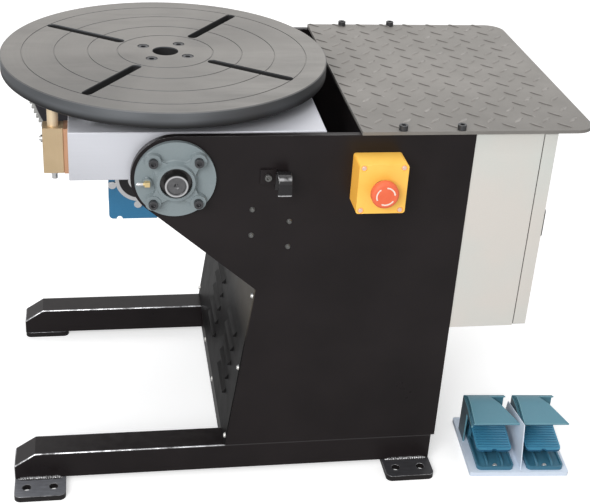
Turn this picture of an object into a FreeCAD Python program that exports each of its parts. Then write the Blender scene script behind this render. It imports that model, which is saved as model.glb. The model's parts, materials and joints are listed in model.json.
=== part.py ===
"""Welding positioner: a faced table that turns on a tilting box between two side plates.

Frame, in millimetres. Z is up and Z = 0 is the top face of the table. X runs from the open end of the
legs (-X) to the control cabinet (+X), and Y runs across the machine, with the operator's side at -Y.
The origin is the middle of the table, on its turning axis. The tilt axis lies along Y below it.
"""

import FreeCAD, Part
import math
import os

V = FreeCAD.Vector

# ---------------------------------------------------------------- driving dimensions
# frame
FACE_ABOVE_AXIS = 103.0      # table face above the tilt axis
AXIS_ABOVE_FLOOR = 538.0     # tilt axis above the floor
FRAME_WIDTH = 478.0          # over the outer faces of the two side plates
PLATE_T = 10.0               # side plate thickness
NOSE_R = 63.0                # round nose of the side plates, about the tilt axis
KNEE_X = 123.0               # where the nose's lower edge meets the leaning front edge
KNEE_DROP = 189.0            # knee below the tilt axis
TOE_X = 85.0                 # foot of the leaning front edge
PLATE_END_X = 435.0          # straight rear edge of the side plates

LEG_W = 48.0                 # leg tube across
LEG_H = 48.0                 # leg tube height
LEG_WALL = 4.0
LEG_TIP_X = -250.0
LEG_END_X = 430.0
MITRE_RUN = 33.0             # sloping tip of the leg
MITRE_DROP = 22.0
BEAM_W = 48.0                # cross beams along X
PAD_L = 80.0                 # foot pads along X
PAD_OUT = 44.0               # foot pad past the leg's outer face
PAD_T = 10.0
PAD_R = 10.0
PAD_HOLE_D = 14.0
PAD_HOLE_PITCH = 42.0
PAD_HOLE_OUT = 21.0          # holes past the leg's outer face

# pedestal sheets
SHEET_T = 2.0
PANEL_FLANGE = 14.0
LOUVRE_ROWS = 5
LOUVRE_PITCH = 27.5
LOUVRE_L = 84.0
LOUVRE_W = 10.0
LOUVRE_OUT = 5.0
LOUVRE_FIRST = 118.0         # first louvre below the knee, along the panel
LOUVRE_STARTS = (67.0, 235.0)  # near ends of the two columns, from the operator's face
GEAR_NOTCH_W = 52.0          # notch in the panel's far top corner, for the sector gear
GEAR_NOTCH_H = 90.0
BAY_WALL_X = 282.0
REAR_PANEL_T = 3.0
M5_HEAD_D = 9.0
M5_HEAD_H = 3.0
M5_SHANK_D = 5.0

# tread cover
COVER_X0 = 265.5
COVER_X1 = 619.0
COVER_T = 5.0
COVER_OVERHANG = 2.0
COVER_CORNER_R = 30.0
COVER_BOLT_X = (326.0, 413.0)
M8_HEAD_D = 13.0
M8_HEAD_H = 8.0
M8_SHANK_D = 8.0

# flanged bearing units on the tilt axis
UNIT_D = 115.0
UNIT_FLANGE_T = 7.0
UNIT_H = 20.0                # housing front above the side plate
UNIT_HUB_D = 64.0
UNIT_FACE_D = 54.0
UNIT_PCD = 90.0
UNIT_BOSS_D = 25.0
UNIT_WAIST_D = 72.0          # round hollows between the cross's arms
UNIT_WAIST_AT = 62.0         # their middles from the axis
UNIT_ARM_DROP = 5.0          # cross below the hub's face
UNIT_MOUTH_D = 46.0
UNIT_SPIGOT_D = 70.0
UNIT_SPIGOT_H = 6.0
UNIT_BORE_D = 52.0
RING_W = 15.0                # outer ring width
RING_AHEAD = 13.0            # its outer face above the side plate
RING_ID = 43.0
SHIELD_T = 1.5
INNER_RING_D = 34.0
INNER_RING_L = 34.0
INNER_RING_OUT = 29.5        # inner ring's outer end above the side plate
SHAFT_D = 25.0
SHAFT_FLANGE_D = 76.0
SHAFT_FLANGE_T = 8.0
NIPPLE_D = 6.0
NIPPLE_OUT = 40.0            # from the tilt axis
NIPPLE_BOSS_D = 12.0
NIPPLE_SINK = 4.0            # its seat below the hub's face

# tilting box
BOX_X0 = -148.0
BOX_X1 = 217.0
BOX_TOP = 63.0               # above the tilt axis
BOX_BOTTOM = -10.0
BOX_GAP = 6.0                # box front end to side plate
BOX_WALL = 8.0

# sector gear and pinion
MODULE = 3.0
SECTOR_TEETH_FULL = 152      # teeth of the whole circle
PINION_TEETH = 20
PRESSURE_ANGLE = 20.0
BACKLASH = 0.30
SECTOR_FROM = 190.0          # degrees from +X, at the level position
SECTOR_TO = 324.0
GEAR_T = 14.0
GEAR_SIDE_GAP = 7.0          # gear to the far side plate
GEAR_HUB_R = 66.0
MESH_ANGLE = 315.0           # pinion's direction from the tilt axis
GEAR_BOLT_PCD = 100.0
SECTOR_HOLE_D = 58.0
SECTOR_HOLE_R = 145.0

# table and spindle
TABLE_D = 500.0
TABLE_T = 24.0
TABLE_BORE_D = 40.0
TABLE_GROOVE_R = (218.0, 169.0, 118.5, 73.5)
GROOVE_W = 1.6
GROOVE_DEPTH = 0.8
RIM_CHAMFER = 1.5
SLOT_W = 16.0
SLOT_R0 = 76.0               # slot ends, from the table's middle
SLOT_R1 = 219.0
PATTERN_ANGLE = 55.5         # slots and screws at the rest position
TABLE_SCREW_PCD = 80.0
M10_HEAD_D = 16.0
M10_HEAD_H = 10.0
M10_SHANK_D = 10.0
SCREW_SINK_D = 18.0
SCREW_SINK_H = 10.5
SPINDLE_FLANGE_D = 116.0
SPINDLE_GAP = 1.5            # spindle flange to the box top
SPINDLE_D = 50.0
SPINDLE_BORE_D = 30.0
SPINDLE_BORE_L = 60.0
SPINDLE_TAIL_D = 25.0
BEARING_OD = 80.0
BEARING_W = 16.0
HOUSING_OD = 100.0

# rotation drive under the box
STAGE2_DIST = 45.0           # worm to output axis
STAGE2_H = 94.0
STAGE2_HALF_L = 56.0
STAGE2_REAR = 46.0           # housing past the output axis, away from the worm
STAGE2_WORM_SIDE = 32.0
STAGE1_T = 60.0
STAGE1_HALF_L = 47.0
STAGE1_TOP = 45.0
STAGE1_BOTTOM = 69.0
STAGE1_DIST = 40.0
COVER_RING_D = 75.0
COVER_RING_ID = 63.0
COVER_RING_T = 4.0
EAR_PCD = 86.0
EAR_D = 12.0
EAR_ANGLES = (50.0, 122.0, 194.0, 266.0, 338.0)
HOLLOW_OD = 36.0
HOLLOW_ID = 25.0
HOLLOW_OUT = 3.0
MOTOR_FLANGE_D = 140.0
MOTOR_FLANGE_T = 12.0
MOTOR_D = 110.0
MOTOR_L = 112.0
FIN_COUNT = 28
FIN_H = 5.0
FIN_T = 2.4
COWL_D = 114.0
COWL_L = 44.0
MOTOR_NECK_D = 58.0          # between the first stage and its motor
MOTOR_CLEARANCE = 2.0        # motor flange past the second stage

# tilt drive in the pedestal
TILT_BOX_T = 86.0            # gearbox across
TILT_BOX_L = 88.0            # gearbox along its worm
TILT_BOX_TOP = 40.0          # above the pinion's axis
TILT_DIST = 50.0             # pinion's axis to the worm
TILT_WORM_BELOW = 36.0       # housing below the worm
PINION_SHAFT_D = 25.0
GEARBOX_GAP = 8.0            # gearbox to the sector gear
SHELF_T = 8.0
BAY_WALL_H = 205.0           # bay wall, from the plates' top down

# earth contact
BLOCK_W = 30.0
BLOCK_FROM_END = 56.0        # block from the box's end on the operator's side
BLOCK_L = 28.0
BLOCK_TOP = 46.0
BLOCK_H = 70.0
STRIP_T = 7.0                # copper strip between block and box
ROD_D = 16.0
ROD_TABLE_GAP = 0.3

# emergency stop
ESTOP_X = 291.0
ESTOP_Z = -2.5
ESTOP_W = 72.0
ESTOP_H = 76.0
ESTOP_BASE_T = 30.0
ESTOP_LID_T = 14.0
ESTOP_R = 4.0
ESTOP_SCREW_X = 29.0
ESTOP_SCREW_Z = 33.0
HEAD_D = 40.0
HEAD_T = 12.0
HEAD_TRAVEL = 5.0

# cable hook on the operator's side plate
HOOK_X = 143.0
HOOK_W = 20.0
HOOK_TAIL = 22.0
HOOK_T = 4.0
HOOK_DROP = 24.0             # its arm below the tilt axis
HOOK_STRAP_H = 26.0
HOOK_REACH = 30.0
M6_HEAD_D = 10.0
M6_HEAD_H = 6.0
M6_SHANK_D = 6.0

# tilt limit switches inside the operator's side plate
SWITCHES = ((112.0, -74.0), (167.5, -94.5))   # (x, z from the tilt axis)
SWITCH_PITCH = 42.0
SWITCH_W = 30.0
SWITCH_H = 60.0
SWITCH_T = 26.0
SWITCH_HEAD_W = 20.0
SWITCH_HEAD_H = 8.0
ROLLER_D = 18.0
ROLLER_T = 6.0

# cabinet
CAB_DEPTH = 104.0
CAB_BOTTOM = -269.0
CAB_WALL = 2.0
CAB_LIP = 14.0               # inward lip round its mouth
GASKET_IN = 5.0              # rubber strips, in from the shell's outside
GASKET_W = 7.0
GASKET_T = 4.0
DOOR_T = 20.0
DOOR_GAP = 1.2
HANDLE_Z = -95.0
HANDLE_L = 48.0
HANDLE_W = 22.0
HANDLE_OUT = 8.0
HANDLE_IN = 26.0             # handle from the door's free edge
DRIVE_DEPTH = 60.0           # motor drives on the mounting plate
HINGE_R = 6.0
HINGE_L = 40.0

# foot pedals
PEDAL_X = 492.0              # front left corner of the tray on the floor
PEDAL_Y = -282.0
PEDAL_TURN = -4.4
TRAY_W = 168.0
TRAY_L = 152.0
TRAY_H = 8.0
TRAY_T = 2.0
TRAY_CORNER_R = 4.0
DIVIDER_AT = 87.0            # middle of the divider, from the tray's left side
DIVIDER_T = 1.6
DIVIDER_H = 78.0
DIVIDER_LEAN = 20.0          # its front edge leans back this much
DIVIDER_FALL = 24.0          # its top edge falls this much to the rear
PEDAL_CENTRES = (44.0, 129.0)
PEDAL_BASE_W = 62.0
PEDAL_BASE_L = 112.0
PEDAL_BASE_H = 7.0
PEDAL_FLOOR_T = 3.0
PEDAL_RIM = 3.0
PEDAL_CORNER_R = 8.0
PEDAL_FRONT = 6.0            # base behind the tray's front edge
PEDAL_REAR = PEDAL_FRONT + PEDAL_BASE_L  # base's rear edge behind the tray's front edge
PEDAL_SCREW_BACK = 8.0       # its screw behind the base's front edge
RIDGE_W = 4.0
RIDGE_H = 5.0
RIDGE_PITCH = 26.0
RIDGE_L = 60.0
HOOD_LEFT = 40.0             # hood's side wall from the pedal's middle
HOOD_EDGE = 34.5             # where its roof breaks down to that wall
HOOD_WING = 42.0             # tip of the wing, from the pedal's middle
HOOD_REAR_RIGHT = 4.0        # right end of the roof's rear edge, from the pedal's middle
HOOD_H = 76.0                # flat of the roof above the tray
HOOD_LIP_DROP = 10.5         # lip below the flat
HOOD_SHOULDER = 6.0          # side wall's top below the roof
HOOD_LIP = 46.0              # lip behind the tray's front edge
HOOD_FLAT = (PEDAL_REAR - 30.0, PEDAL_REAR - 8.0)  # flat of the roof
HOOD_WALL_FROM = PEDAL_REAR - 34.0  # side wall's front edge
HOOD_T = 2.5
TREADLE_W = 60.0
TREADLE_FRONT = 28.0         # treadle's front edge behind the tray's
TREADLE_BEND = PEDAL_REAR - 34.0  # where it turns up to its riser
TREADLE_T = 3.5
TREADLE_RISE = 8.0           # over its ribbed length
RISER_RUN = 10.5
RISER_H = 22.0
TREADLE_R = 8.0
RIB_COUNT = 9
RIB_PITCH = 5.6
RIB_W = 2.2
RIB_H = 1.0
PIVOT_V = PEDAL_REAR - 18.0
PIVOT_W = 28.0
PIVOT_D = 8.0
PIVOT_TUBE_D = 14.0
EAR_T = 5.0
EAR_L = 16.0

RUN = 0.05                   # radial clearance of a running or sliding fit
FIT = 0.10                   # clearance of fixed pieces in their seats
CLEAR = 0.5                  # bolt shanks in their holes

# ---------------------------------------------------------------- levels worked out from them
Z_AXIS = -FACE_ABOVE_AXIS
Z_FLOOR = Z_AXIS - AXIS_ABOVE_FLOOR
Z_LEG_BOTTOM = Z_FLOOR + PAD_T
Z_LEG_TOP = Z_LEG_BOTTOM + LEG_H
Z_PLATE_TOP = Z_AXIS + NOSE_R
Z_KNEE = Z_AXIS - KNEE_DROP
Z_BOX_TOP = Z_AXIS + BOX_TOP
Z_BOX_BOTTOM = Z_AXIS + BOX_BOTTOM
Y_FRONT = -FRAME_WIDTH / 2
Y_BACK = FRAME_WIDTH / 2
Y_IN_FRONT = Y_FRONT + PLATE_T
Y_IN_BACK = Y_BACK - PLATE_T
Y_GEAR1 = Y_IN_BACK - GEAR_SIDE_GAP
Y_GEAR0 = Y_GEAR1 - GEAR_T
Y_BOX0 = Y_IN_FRONT + BOX_GAP
Y_BOX1 = Y_GEAR0 - 2.0
SECTOR_PITCH_R = MODULE * SECTOR_TEETH_FULL / 2
PINION_PITCH_R = MODULE * PINION_TEETH / 2
MESH_DIST = SECTOR_PITCH_R + PINION_PITCH_R
PINION_X = MESH_DIST * math.cos(math.radians(MESH_ANGLE))
PINION_Z = Z_AXIS + MESH_DIST * math.sin(math.radians(MESH_ANGLE))

os.makedirs("parts", exist_ok=True)


# ---------------------------------------------------------------- helpers
def save(name, *shapes):
    """One node: a solid, or a group of separate solids."""
    solids = [s for shape in shapes for s in shape.Solids]
    node = solids[0] if len(solids) == 1 else Part.makeCompound(solids)
    node.exportStep("parts/%s.step" % name)
    print("%-24s %2d solid(s) %10.0f mm3  valid %s" % (name, len(solids), node.Volume, node.isValid()))
    return node


def block(x0, x1, y0, y1, z0, z1):
    return Part.makeBox(x1 - x0, y1 - y0, z1 - z0, V(x0, y0, z0))


def round_block(x0, x1, y0, y1, z0, z1, r, axis="Z"):
    """A block with its four edges along one axis rounded."""
    body = block(x0, x1, y0, y1, z0, z1)
    along = {"X": V(1, 0, 0), "Y": V(0, 1, 0), "Z": V(0, 0, 1)}[axis]
    edges = [e for e in body.Edges if abs(e.tangentAt(e.FirstParameter).dot(along)) > 0.99]
    return body.makeFillet(r, edges)


def rod(d, start, end):
    a, b = V(*start), V(*end)
    return Part.makeCylinder(d / 2, (b - a).Length, a, b - a)


def tube(od, inner, start, end):
    a, b = V(*start), V(*end)
    along = b - a
    along.normalize()
    return rod(od, a, b).cut(rod(inner, a - along, b + along))


def cone(d0, d1, start, end):
    a, b = V(*start), V(*end)
    return Part.makeCone(d0 / 2, d1 / 2, (b - a).Length, a, b - a)


def fuse(shapes):
    first, rest = shapes[0], shapes[1:]
    return first.multiFuse(rest).removeSplitter() if rest else first


def prism_y(points, y0, y1):
    """A closed outline of (x, z) points, drawn out from y0 to y1."""
    corners = [V(x, y0, z) for x, z in points]
    return Part.Face(Part.makePolygon(corners + corners[:1])).extrude(V(0, y1 - y0, 0))


def prism_x(points, x0, x1):
    """A closed outline of (y, z) points, drawn out from x0 to x1."""
    corners = [V(x0, y, z) for y, z in points]
    return Part.Face(Part.makePolygon(corners + corners[:1])).extrude(V(x1 - x0, 0, 0))


def polar(r, degrees):
    return r * math.cos(math.radians(degrees)), r * math.sin(math.radians(degrees))


def turned(shape, degrees, centre=(0, 0, 0), axis=(0, 0, 1)):
    copy = shape.copy()
    copy.rotate(V(*centre), V(*axis), degrees)
    return copy


def mirrored_y(shape):
    return shape.mirror(V(0, 0, 0), V(0, 1, 0))


def cap_screw(head_d, head_h, shank_d, shank_l, seat, away):
    """A socket head screw: seat is the middle of its head's underside, away points out of the head."""
    s, a = V(*seat), V(*away)
    a.normalize()
    head = rod(head_d, s, s + a * head_h)
    socket = rod(head_d * 0.5, s + a * (head_h * 0.5), s + a * (head_h + 1))
    shank = rod(shank_d, s - a * shank_l, s)
    return head.fuse(shank).cut(socket)


def pan_screw(seat, away, length=12.0, head_h=M5_HEAD_H):
    """A small pan head screw."""
    s, a = V(*seat), V(*away)
    a.normalize()
    head = cone(M5_HEAD_D, M5_HEAD_D * 0.6, s, s + a * head_h)
    return head.fuse(rod(M5_SHANK_D, s - a * length, s))


# ---------------------------------------------------------------- frame
def nose_tangent():
    """The point where the nose's lower edge leaves its arc, seen from the knee."""
    reach = math.hypot(KNEE_X, KNEE_DROP)
    knee = math.degrees(math.atan2(-KNEE_DROP, KNEE_X))
    angle = knee - math.degrees(math.acos(NOSE_R / reach))
    x, z = polar(NOSE_R, angle)
    return V(x, 0, Z_AXIS + z)


def side_plate(y0):
    """A side plate: round nose, slanting lower edge, knee, leaning front edge and square rear."""
    top = V(0, 0, Z_PLATE_TOP)
    tangent = nose_tangent()
    outline = [V(PLATE_END_X, 0, Z_PLATE_TOP), V(PLATE_END_X, 0, Z_LEG_TOP), V(TOE_X, 0, Z_LEG_TOP),
               V(KNEE_X, 0, Z_KNEE), tangent]
    edges = [Part.LineSegment(a, b).toShape() for a, b in zip([top] + outline[:-1], outline)]
    edges.append(Part.Arc(tangent, V(-NOSE_R, 0, Z_AXIS), top).toShape())
    plate = Part.Face(Part.Wire(edges)).extrude(V(0, PLATE_T, 0))
    plate.translate(V(0, y0, 0))
    cuts = [rod(UNIT_SPIGOT_D + 2 * FIT, (0, y0 - 1, Z_AXIS), (0, y0 + PLATE_T + 1, Z_AXIS))]
    for x, z in unit_bolts():
        cuts.append(rod(M8_SHANK_D + CLEAR, (x, y0 - 1, z), (x, y0 + PLATE_T + 1, z)))
    for x in COVER_BOLT_X:
        y = y0 + PLATE_T / 2
        cuts.append(rod(M8_SHANK_D + 2 * FIT, (x, y, Z_PLATE_TOP - 17), (x, y, Z_PLATE_TOP + 1)))
    return plate.cut(Part.makeCompound(cuts))


def leg(side):
    """A box-section leg with a sloping, plated tip and an open rear end."""
    def outline(inset):
        low, high = Z_LEG_BOTTOM + inset, Z_LEG_TOP - inset
        tip, end = LEG_TIP_X + inset, LEG_END_X + (1 if inset else 0)
        return [(tip, low), (end, low), (end, high), (LEG_TIP_X + MITRE_RUN + inset * 0.6, high),
                (tip, Z_LEG_TOP - MITRE_DROP - inset * 0.6)]
    solid = prism_y(outline(0), Y_FRONT, Y_FRONT + LEG_W)
    hollow = prism_y(outline(LEG_WALL), Y_FRONT + LEG_WALL, Y_FRONT + LEG_W - LEG_WALL)
    shape = solid.cut(hollow)
    return shape if side < 0 else mirrored_y(shape)


def cross_beam(x0):
    """A box-section beam between the two legs."""
    y = Y_BACK - LEG_W
    outer = block(x0, x0 + BEAM_W, -y, y, Z_LEG_BOTTOM, Z_LEG_TOP)
    inner = block(x0 + LEG_WALL, x0 + BEAM_W - LEG_WALL, -y - 1, y + 1,
                  Z_LEG_BOTTOM + LEG_WALL, Z_LEG_TOP - LEG_WALL)
    return outer.cut(inner)


def foot_pad(x0, side):
    """A floor pad with two anchor holes outside the leg."""
    pad = round_block(x0, x0 + PAD_L, Y_FRONT - PAD_OUT, Y_FRONT + LEG_W, Z_FLOOR, Z_LEG_BOTTOM, PAD_R)
    for dx in (-0.5, 0.5):
        x, y = x0 + PAD_L / 2 + dx * PAD_HOLE_PITCH, Y_FRONT - PAD_HOLE_OUT
        pad = pad.cut(rod(PAD_HOLE_D, (x, y, Z_FLOOR - 1), (x, y, Z_LEG_BOTTOM + 1)))
    return pad if side < 0 else mirrored_y(pad)


def front_x(z):
    """X of the side plates' leaning front edge at height z."""
    return KNEE_X + (TOE_X - KNEE_X) * (Z_KNEE - z) / (Z_KNEE - Z_LEG_TOP)


def louvre_panel():
    """The leaning front panel: a folded sheet with two columns of pressed louvres."""
    lean = math.degrees(math.atan2(KNEE_X - TOE_X, Z_KNEE - Z_LEG_TOP))
    length = math.hypot(KNEE_X - TOE_X, Z_KNEE - Z_LEG_TOP)
    y0, y1 = Y_FRONT + 0.5, Y_BACK - 0.5
    sheet = block(0, SHEET_T, y0, y1, -length, 0)
    sheet = sheet.fuse(block(0, PANEL_FLANGE, Y_IN_FRONT + 1, Y_IN_BACK - GEAR_NOTCH_W, -SHEET_T, 0))
    notch = block(-1, PANEL_FLANGE + 1, Y_IN_BACK - GEAR_NOTCH_W, y1 + 1, -GEAR_NOTCH_H, 1)
    sheet = sheet.cut(notch)
    for column in LOUVRE_STARTS:
        for row in range(LOUVRE_ROWS):
            w = -LOUVRE_FIRST - row * LOUVRE_PITCH
            a, b = Y_FRONT + column, Y_FRONT + column + LOUVRE_L
            hood = [(0, w), (-LOUVRE_OUT, w - LOUVRE_W + 2), (-LOUVRE_OUT, w - LOUVRE_W), (0, w - LOUVRE_W)]
            vent = [(SHEET_T + 1, w - 3), (-LOUVRE_OUT + 1.2, w - LOUVRE_W + 1.2),
                    (-LOUVRE_OUT + 1.2, w - LOUVRE_W - 1), (SHEET_T + 1, w - LOUVRE_W - 1)]
            sheet = sheet.fuse(prism_y(hood, a, b)).cut(prism_y(vent, a + 1.5, b - 1.5))
    panel = turned(sheet, lean, (0, 0, 0), (0, 1, 0))
    panel.translate(V(KNEE_X - SHEET_T / math.cos(math.radians(lean)) - 0.1, 0, Z_KNEE))
    return panel.cut(block(0, KNEE_X, Y_FRONT, Y_BACK, Z_LEG_TOP - 30, Z_LEG_TOP))


def panel_normal():
    """Outward direction of the leaning front edge and its panel."""
    length = math.hypot(KNEE_X - TOE_X, Z_KNEE - Z_LEG_TOP)
    return V((Z_LEG_TOP - Z_KNEE) / length, 0, (KNEE_X - TOE_X) / length)


def panel_screw_seats():
    """Screws along the panel's two sides: (x, y, z) on its outer face."""
    seats = []
    out = SHEET_T / -panel_normal().x + 0.1
    for z in (Z_KNEE - 13, (Z_KNEE + Z_LEG_TOP) / 2 + 2, Z_LEG_TOP + 16):
        x = front_x(z) - out
        seats.append((x, Y_FRONT + PLATE_T / 2, z))
        if z < Z_KNEE - GEAR_NOTCH_H:
            seats.append((x, Y_BACK - PLATE_T / 2, z))
    return seats


# ---------------------------------------------------------------- bearing units on the tilt axis
def unit_bolts():
    """(x, z) of the four bolts of a bearing unit."""
    return [(x, Z_AXIS + z) for x, z in (polar(UNIT_PCD / 2, 45 + 90 * n) for n in range(4))]


def bearing_housing():
    """Cast flanged housing: thin disc, raised cross with hollowed flanks, four bosses, hub and nipple boss."""
    y = Y_FRONT
    disc = rod(UNIT_D, (0, y, Z_AXIS), (0, y - UNIT_FLANGE_T, Z_AXIS))
    spigot = rod(UNIT_SPIGOT_D, (0, y, Z_AXIS), (0, y + UNIT_SPIGOT_H, Z_AXIS))
    hub = cone(UNIT_HUB_D, UNIT_FACE_D, (0, y - UNIT_FLANGE_T, Z_AXIS), (0, y - UNIT_H, Z_AXIS))
    arm_y = y - UNIT_H + UNIT_ARM_DROP
    cross = rod(UNIT_PCD + UNIT_BOSS_D / 4, (0, y - UNIT_FLANGE_T + 1, Z_AXIS), (0, arm_y, Z_AXIS))
    for n in range(4):
        x, z = polar(UNIT_WAIST_AT, 90 * n)
        cross = cross.cut(rod(UNIT_WAIST_D, (x, y, Z_AXIS + z), (x, arm_y - 1, Z_AXIS + z)))
    seat = y - UNIT_H + NIPPLE_SINK
    raised = [disc, spigot, hub, cross,
              rod(NIPPLE_BOSS_D, (-NIPPLE_OUT, y - UNIT_FLANGE_T + 1, Z_AXIS), (-NIPPLE_OUT, seat, Z_AXIS))]
    for x, z in unit_bolts():
        raised.append(cone(UNIT_BOSS_D, UNIT_BOSS_D - 3, (x, y - UNIT_FLANGE_T + 1, z), (x, y - UNIT_H + 3, z)))
    shape = fuse(raised)
    ring_y = y - RING_AHEAD
    cuts = [rod(UNIT_BORE_D + 2 * FIT, (0, ring_y - 1, Z_AXIS), (0, y + UNIT_SPIGOT_H + 1, Z_AXIS)),
            rod(UNIT_MOUTH_D, (0, y - UNIT_H - 1, Z_AXIS), (0, y + 1, Z_AXIS)),
            rod(NIPPLE_D, (-NIPPLE_OUT, seat - 1, Z_AXIS), (-NIPPLE_OUT, y - UNIT_FLANGE_T + 5, Z_AXIS))]
    for x, z in unit_bolts():
        cuts.append(rod(M8_SHANK_D + CLEAR, (x, y - UNIT_H, z), (x, y + 1, z)))
    return shape.cut(Part.makeCompound(cuts))


def outer_ring():
    """Outer ring of the insert bearing, with its shield."""
    y0, y1 = Y_FRONT - RING_AHEAD, Y_FRONT - RING_AHEAD + RING_W
    ring = tube(UNIT_BORE_D, RING_ID, (0, y0, Z_AXIS), (0, y1, Z_AXIS))
    for y in (y0, y1 - SHIELD_T):
        ring = ring.fuse(tube(RING_ID + 1, INNER_RING_D + 2 * RUN, (0, y, Z_AXIS), (0, y + SHIELD_T, Z_AXIS)))
    return ring


def inner_ring():
    start = Y_FRONT - INNER_RING_OUT
    return tube(INNER_RING_D, SHAFT_D + 2 * RUN, (0, start, Z_AXIS), (0, start + INNER_RING_L, Z_AXIS))


def tilt_shaft(y_inside):
    """Stub shaft of the operator's side, with its flange inside the box."""
    start = Y_FRONT - INNER_RING_OUT + 1.5
    shaft = rod(SHAFT_D, (0, start, Z_AXIS), (0, y_inside, Z_AXIS))
    centre = cone(8, 1, (0, start - 0.01, Z_AXIS), (0, start + 4, Z_AXIS))
    flange = rod(SHAFT_FLANGE_D, (0, y_inside, Z_AXIS), (0, y_inside + SHAFT_FLANGE_T, Z_AXIS))
    flange = flange.cut(block(-SHAFT_FLANGE_D, SHAFT_FLANGE_D, y_inside - 1, y_inside + SHAFT_FLANGE_T + 1,
                              Z_AXIS - SHAFT_FLANGE_D, Z_BOX_BOTTOM + BOX_WALL))
    return shaft.cut(centre).fuse(flange)


def grease_nipple():
    """An angled grease nipple: brass body on the bearing unit's arm, with its head towards the rim."""
    y = Y_FRONT - UNIT_H
    x = -NIPPLE_OUT
    stem = rod(NIPPLE_D - 2 * FIT, (x, y + 2, Z_AXIS), (x, Y_FRONT - UNIT_FLANGE_T + 5, Z_AXIS))
    body = block(x - 4, x + 3.5, y - 3, y + NIPPLE_SINK, Z_AXIS - 3.5, Z_AXIS + 3.5)
    neck = rod(5, (x - 3, y + 0.5, Z_AXIS), (x - 12, y + 0.5, Z_AXIS))
    tip = cone(6.4, 3.6, (x - 11, y + 0.5, Z_AXIS), (x - 15.5, y + 0.5, Z_AXIS))
    return fuse([stem, body, neck, tip])


# ---------------------------------------------------------------- gear teeth
def involute(angle):
    return math.tan(angle) - angle


def tooth_half_angle(r, teeth):
    """Half the angle that a tooth takes at radius r, in radians."""
    pitch_r = MODULE * teeth / 2
    base_r = pitch_r * math.cos(math.radians(PRESSURE_ANGLE))
    at_pitch = (math.pi * MODULE / 2 - BACKLASH / 2) / 2 / pitch_r
    at_r = math.acos(min(1.0, base_r / max(r, base_r)))
    return at_pitch + involute(math.radians(PRESSURE_ANGLE)) - involute(at_r)


def tooth(teeth, centre_angle):
    """Outline of one tooth: (r, angle in radians) from one root to the next."""
    pitch_r = MODULE * teeth / 2
    root_r, tip_r = pitch_r - 1.25 * MODULE, pitch_r + MODULE
    base_r = pitch_r * math.cos(math.radians(PRESSURE_ANGLE))
    radii = [max(root_r, base_r + 0.02), pitch_r, tip_r]
    middle = math.radians(centre_angle)
    up = [(r, middle - tooth_half_angle(r, teeth)) for r in radii]
    down = [(r, middle + tooth_half_angle(r, teeth)) for r in reversed(radii)]
    foot = [(root_r, up[0][1])] if root_r < radii[0] - 0.05 else []
    heel = [(root_r, down[-1][1])] if foot else []
    return foot + up + down + heel


def pinion():
    """Pinion with its shaft into the tilt gearbox. A gap faces the sector's tooth."""
    step = 360.0 / PINION_TEETH
    outline = []
    for n in range(PINION_TEETH):
        outline += tooth(PINION_TEETH, MESH_ANGLE + 180 + step * (n + 0.5))
    points = [(PINION_X + r * math.cos(a), PINION_Z + r * math.sin(a)) for r, a in outline]
    gear = prism_y(points, Y_GEAR0, Y_GEAR1)
    boss = rod(40, (PINION_X, Y_GEAR0 - GEARBOX_GAP + 0.5, PINION_Z), (PINION_X, Y_GEAR0 + 1, PINION_Z))
    shaft = rod(PINION_SHAFT_D, (PINION_X, Y_GEAR0 - GEARBOX_GAP - TILT_BOX_T, PINION_Z),
                (PINION_X, Y_GEAR1 + 3, PINION_Z))
    return fuse([gear, boss, shaft])


def sector_gear():
    """Toothed sector on the box's far end, with a round hub and lightening holes."""
    step = 360.0 / SECTOR_TEETH_FULL
    first, last = math.ceil(SECTOR_FROM / step), math.floor(SECTOR_TO / step)
    outline = []
    for n in range(first, last + 1):
        outline += tooth(SECTOR_TEETH_FULL, n * step)
    points = [(r * math.cos(a), Z_AXIS + r * math.sin(a)) for r, a in outline]
    edge0, edge1 = math.radians(first * step) - 0.012, math.radians(last * step) + 0.012
    rim = SECTOR_PITCH_R - 1.25 * MODULE
    inner = GEAR_HUB_R - 6
    ends = [(rim * math.cos(edge1), Z_AXIS + rim * math.sin(edge1)),
            (inner * math.cos(edge1), Z_AXIS + inner * math.sin(edge1)),
            (inner * math.cos(edge0), Z_AXIS + inner * math.sin(edge0)),
            (rim * math.cos(edge0), Z_AXIS + rim * math.sin(edge0))]
    web = prism_y(points + ends, Y_GEAR0, Y_GEAR1)
    hub = rod(GEAR_HUB_R * 2, (0, Y_GEAR0, Z_AXIS), (0, Y_GEAR1, Z_AXIS))
    shape = web.fuse(hub)
    cuts = [rod(SHAFT_D + 10, (0, Y_GEAR0 - 1, Z_AXIS), (0, Y_GEAR1 + 1, Z_AXIS))]
    middle = (SECTOR_FROM + SECTOR_TO) / 2
    for n in (-1, 0, 1):
        x, z = polar(SECTOR_HOLE_R, middle + 42 * n)
        cuts.append(rod(SECTOR_HOLE_D, (x, Y_GEAR0 - 1, Z_AXIS + z), (x, Y_GEAR1 + 1, Z_AXIS + z)))
    for x, z in gear_bolts():
        cuts.append(rod(M8_SHANK_D + CLEAR, (x, Y_GEAR0 - 1, z), (x, Y_GEAR1 + 1, z)))
    return shape.cut(Part.makeCompound(cuts))


def gear_bolts():
    return [(x, Z_AXIS + z) for x, z in (polar(GEAR_BOLT_PCD / 2, n) for n in (20, 160, 200, 340))]


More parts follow.
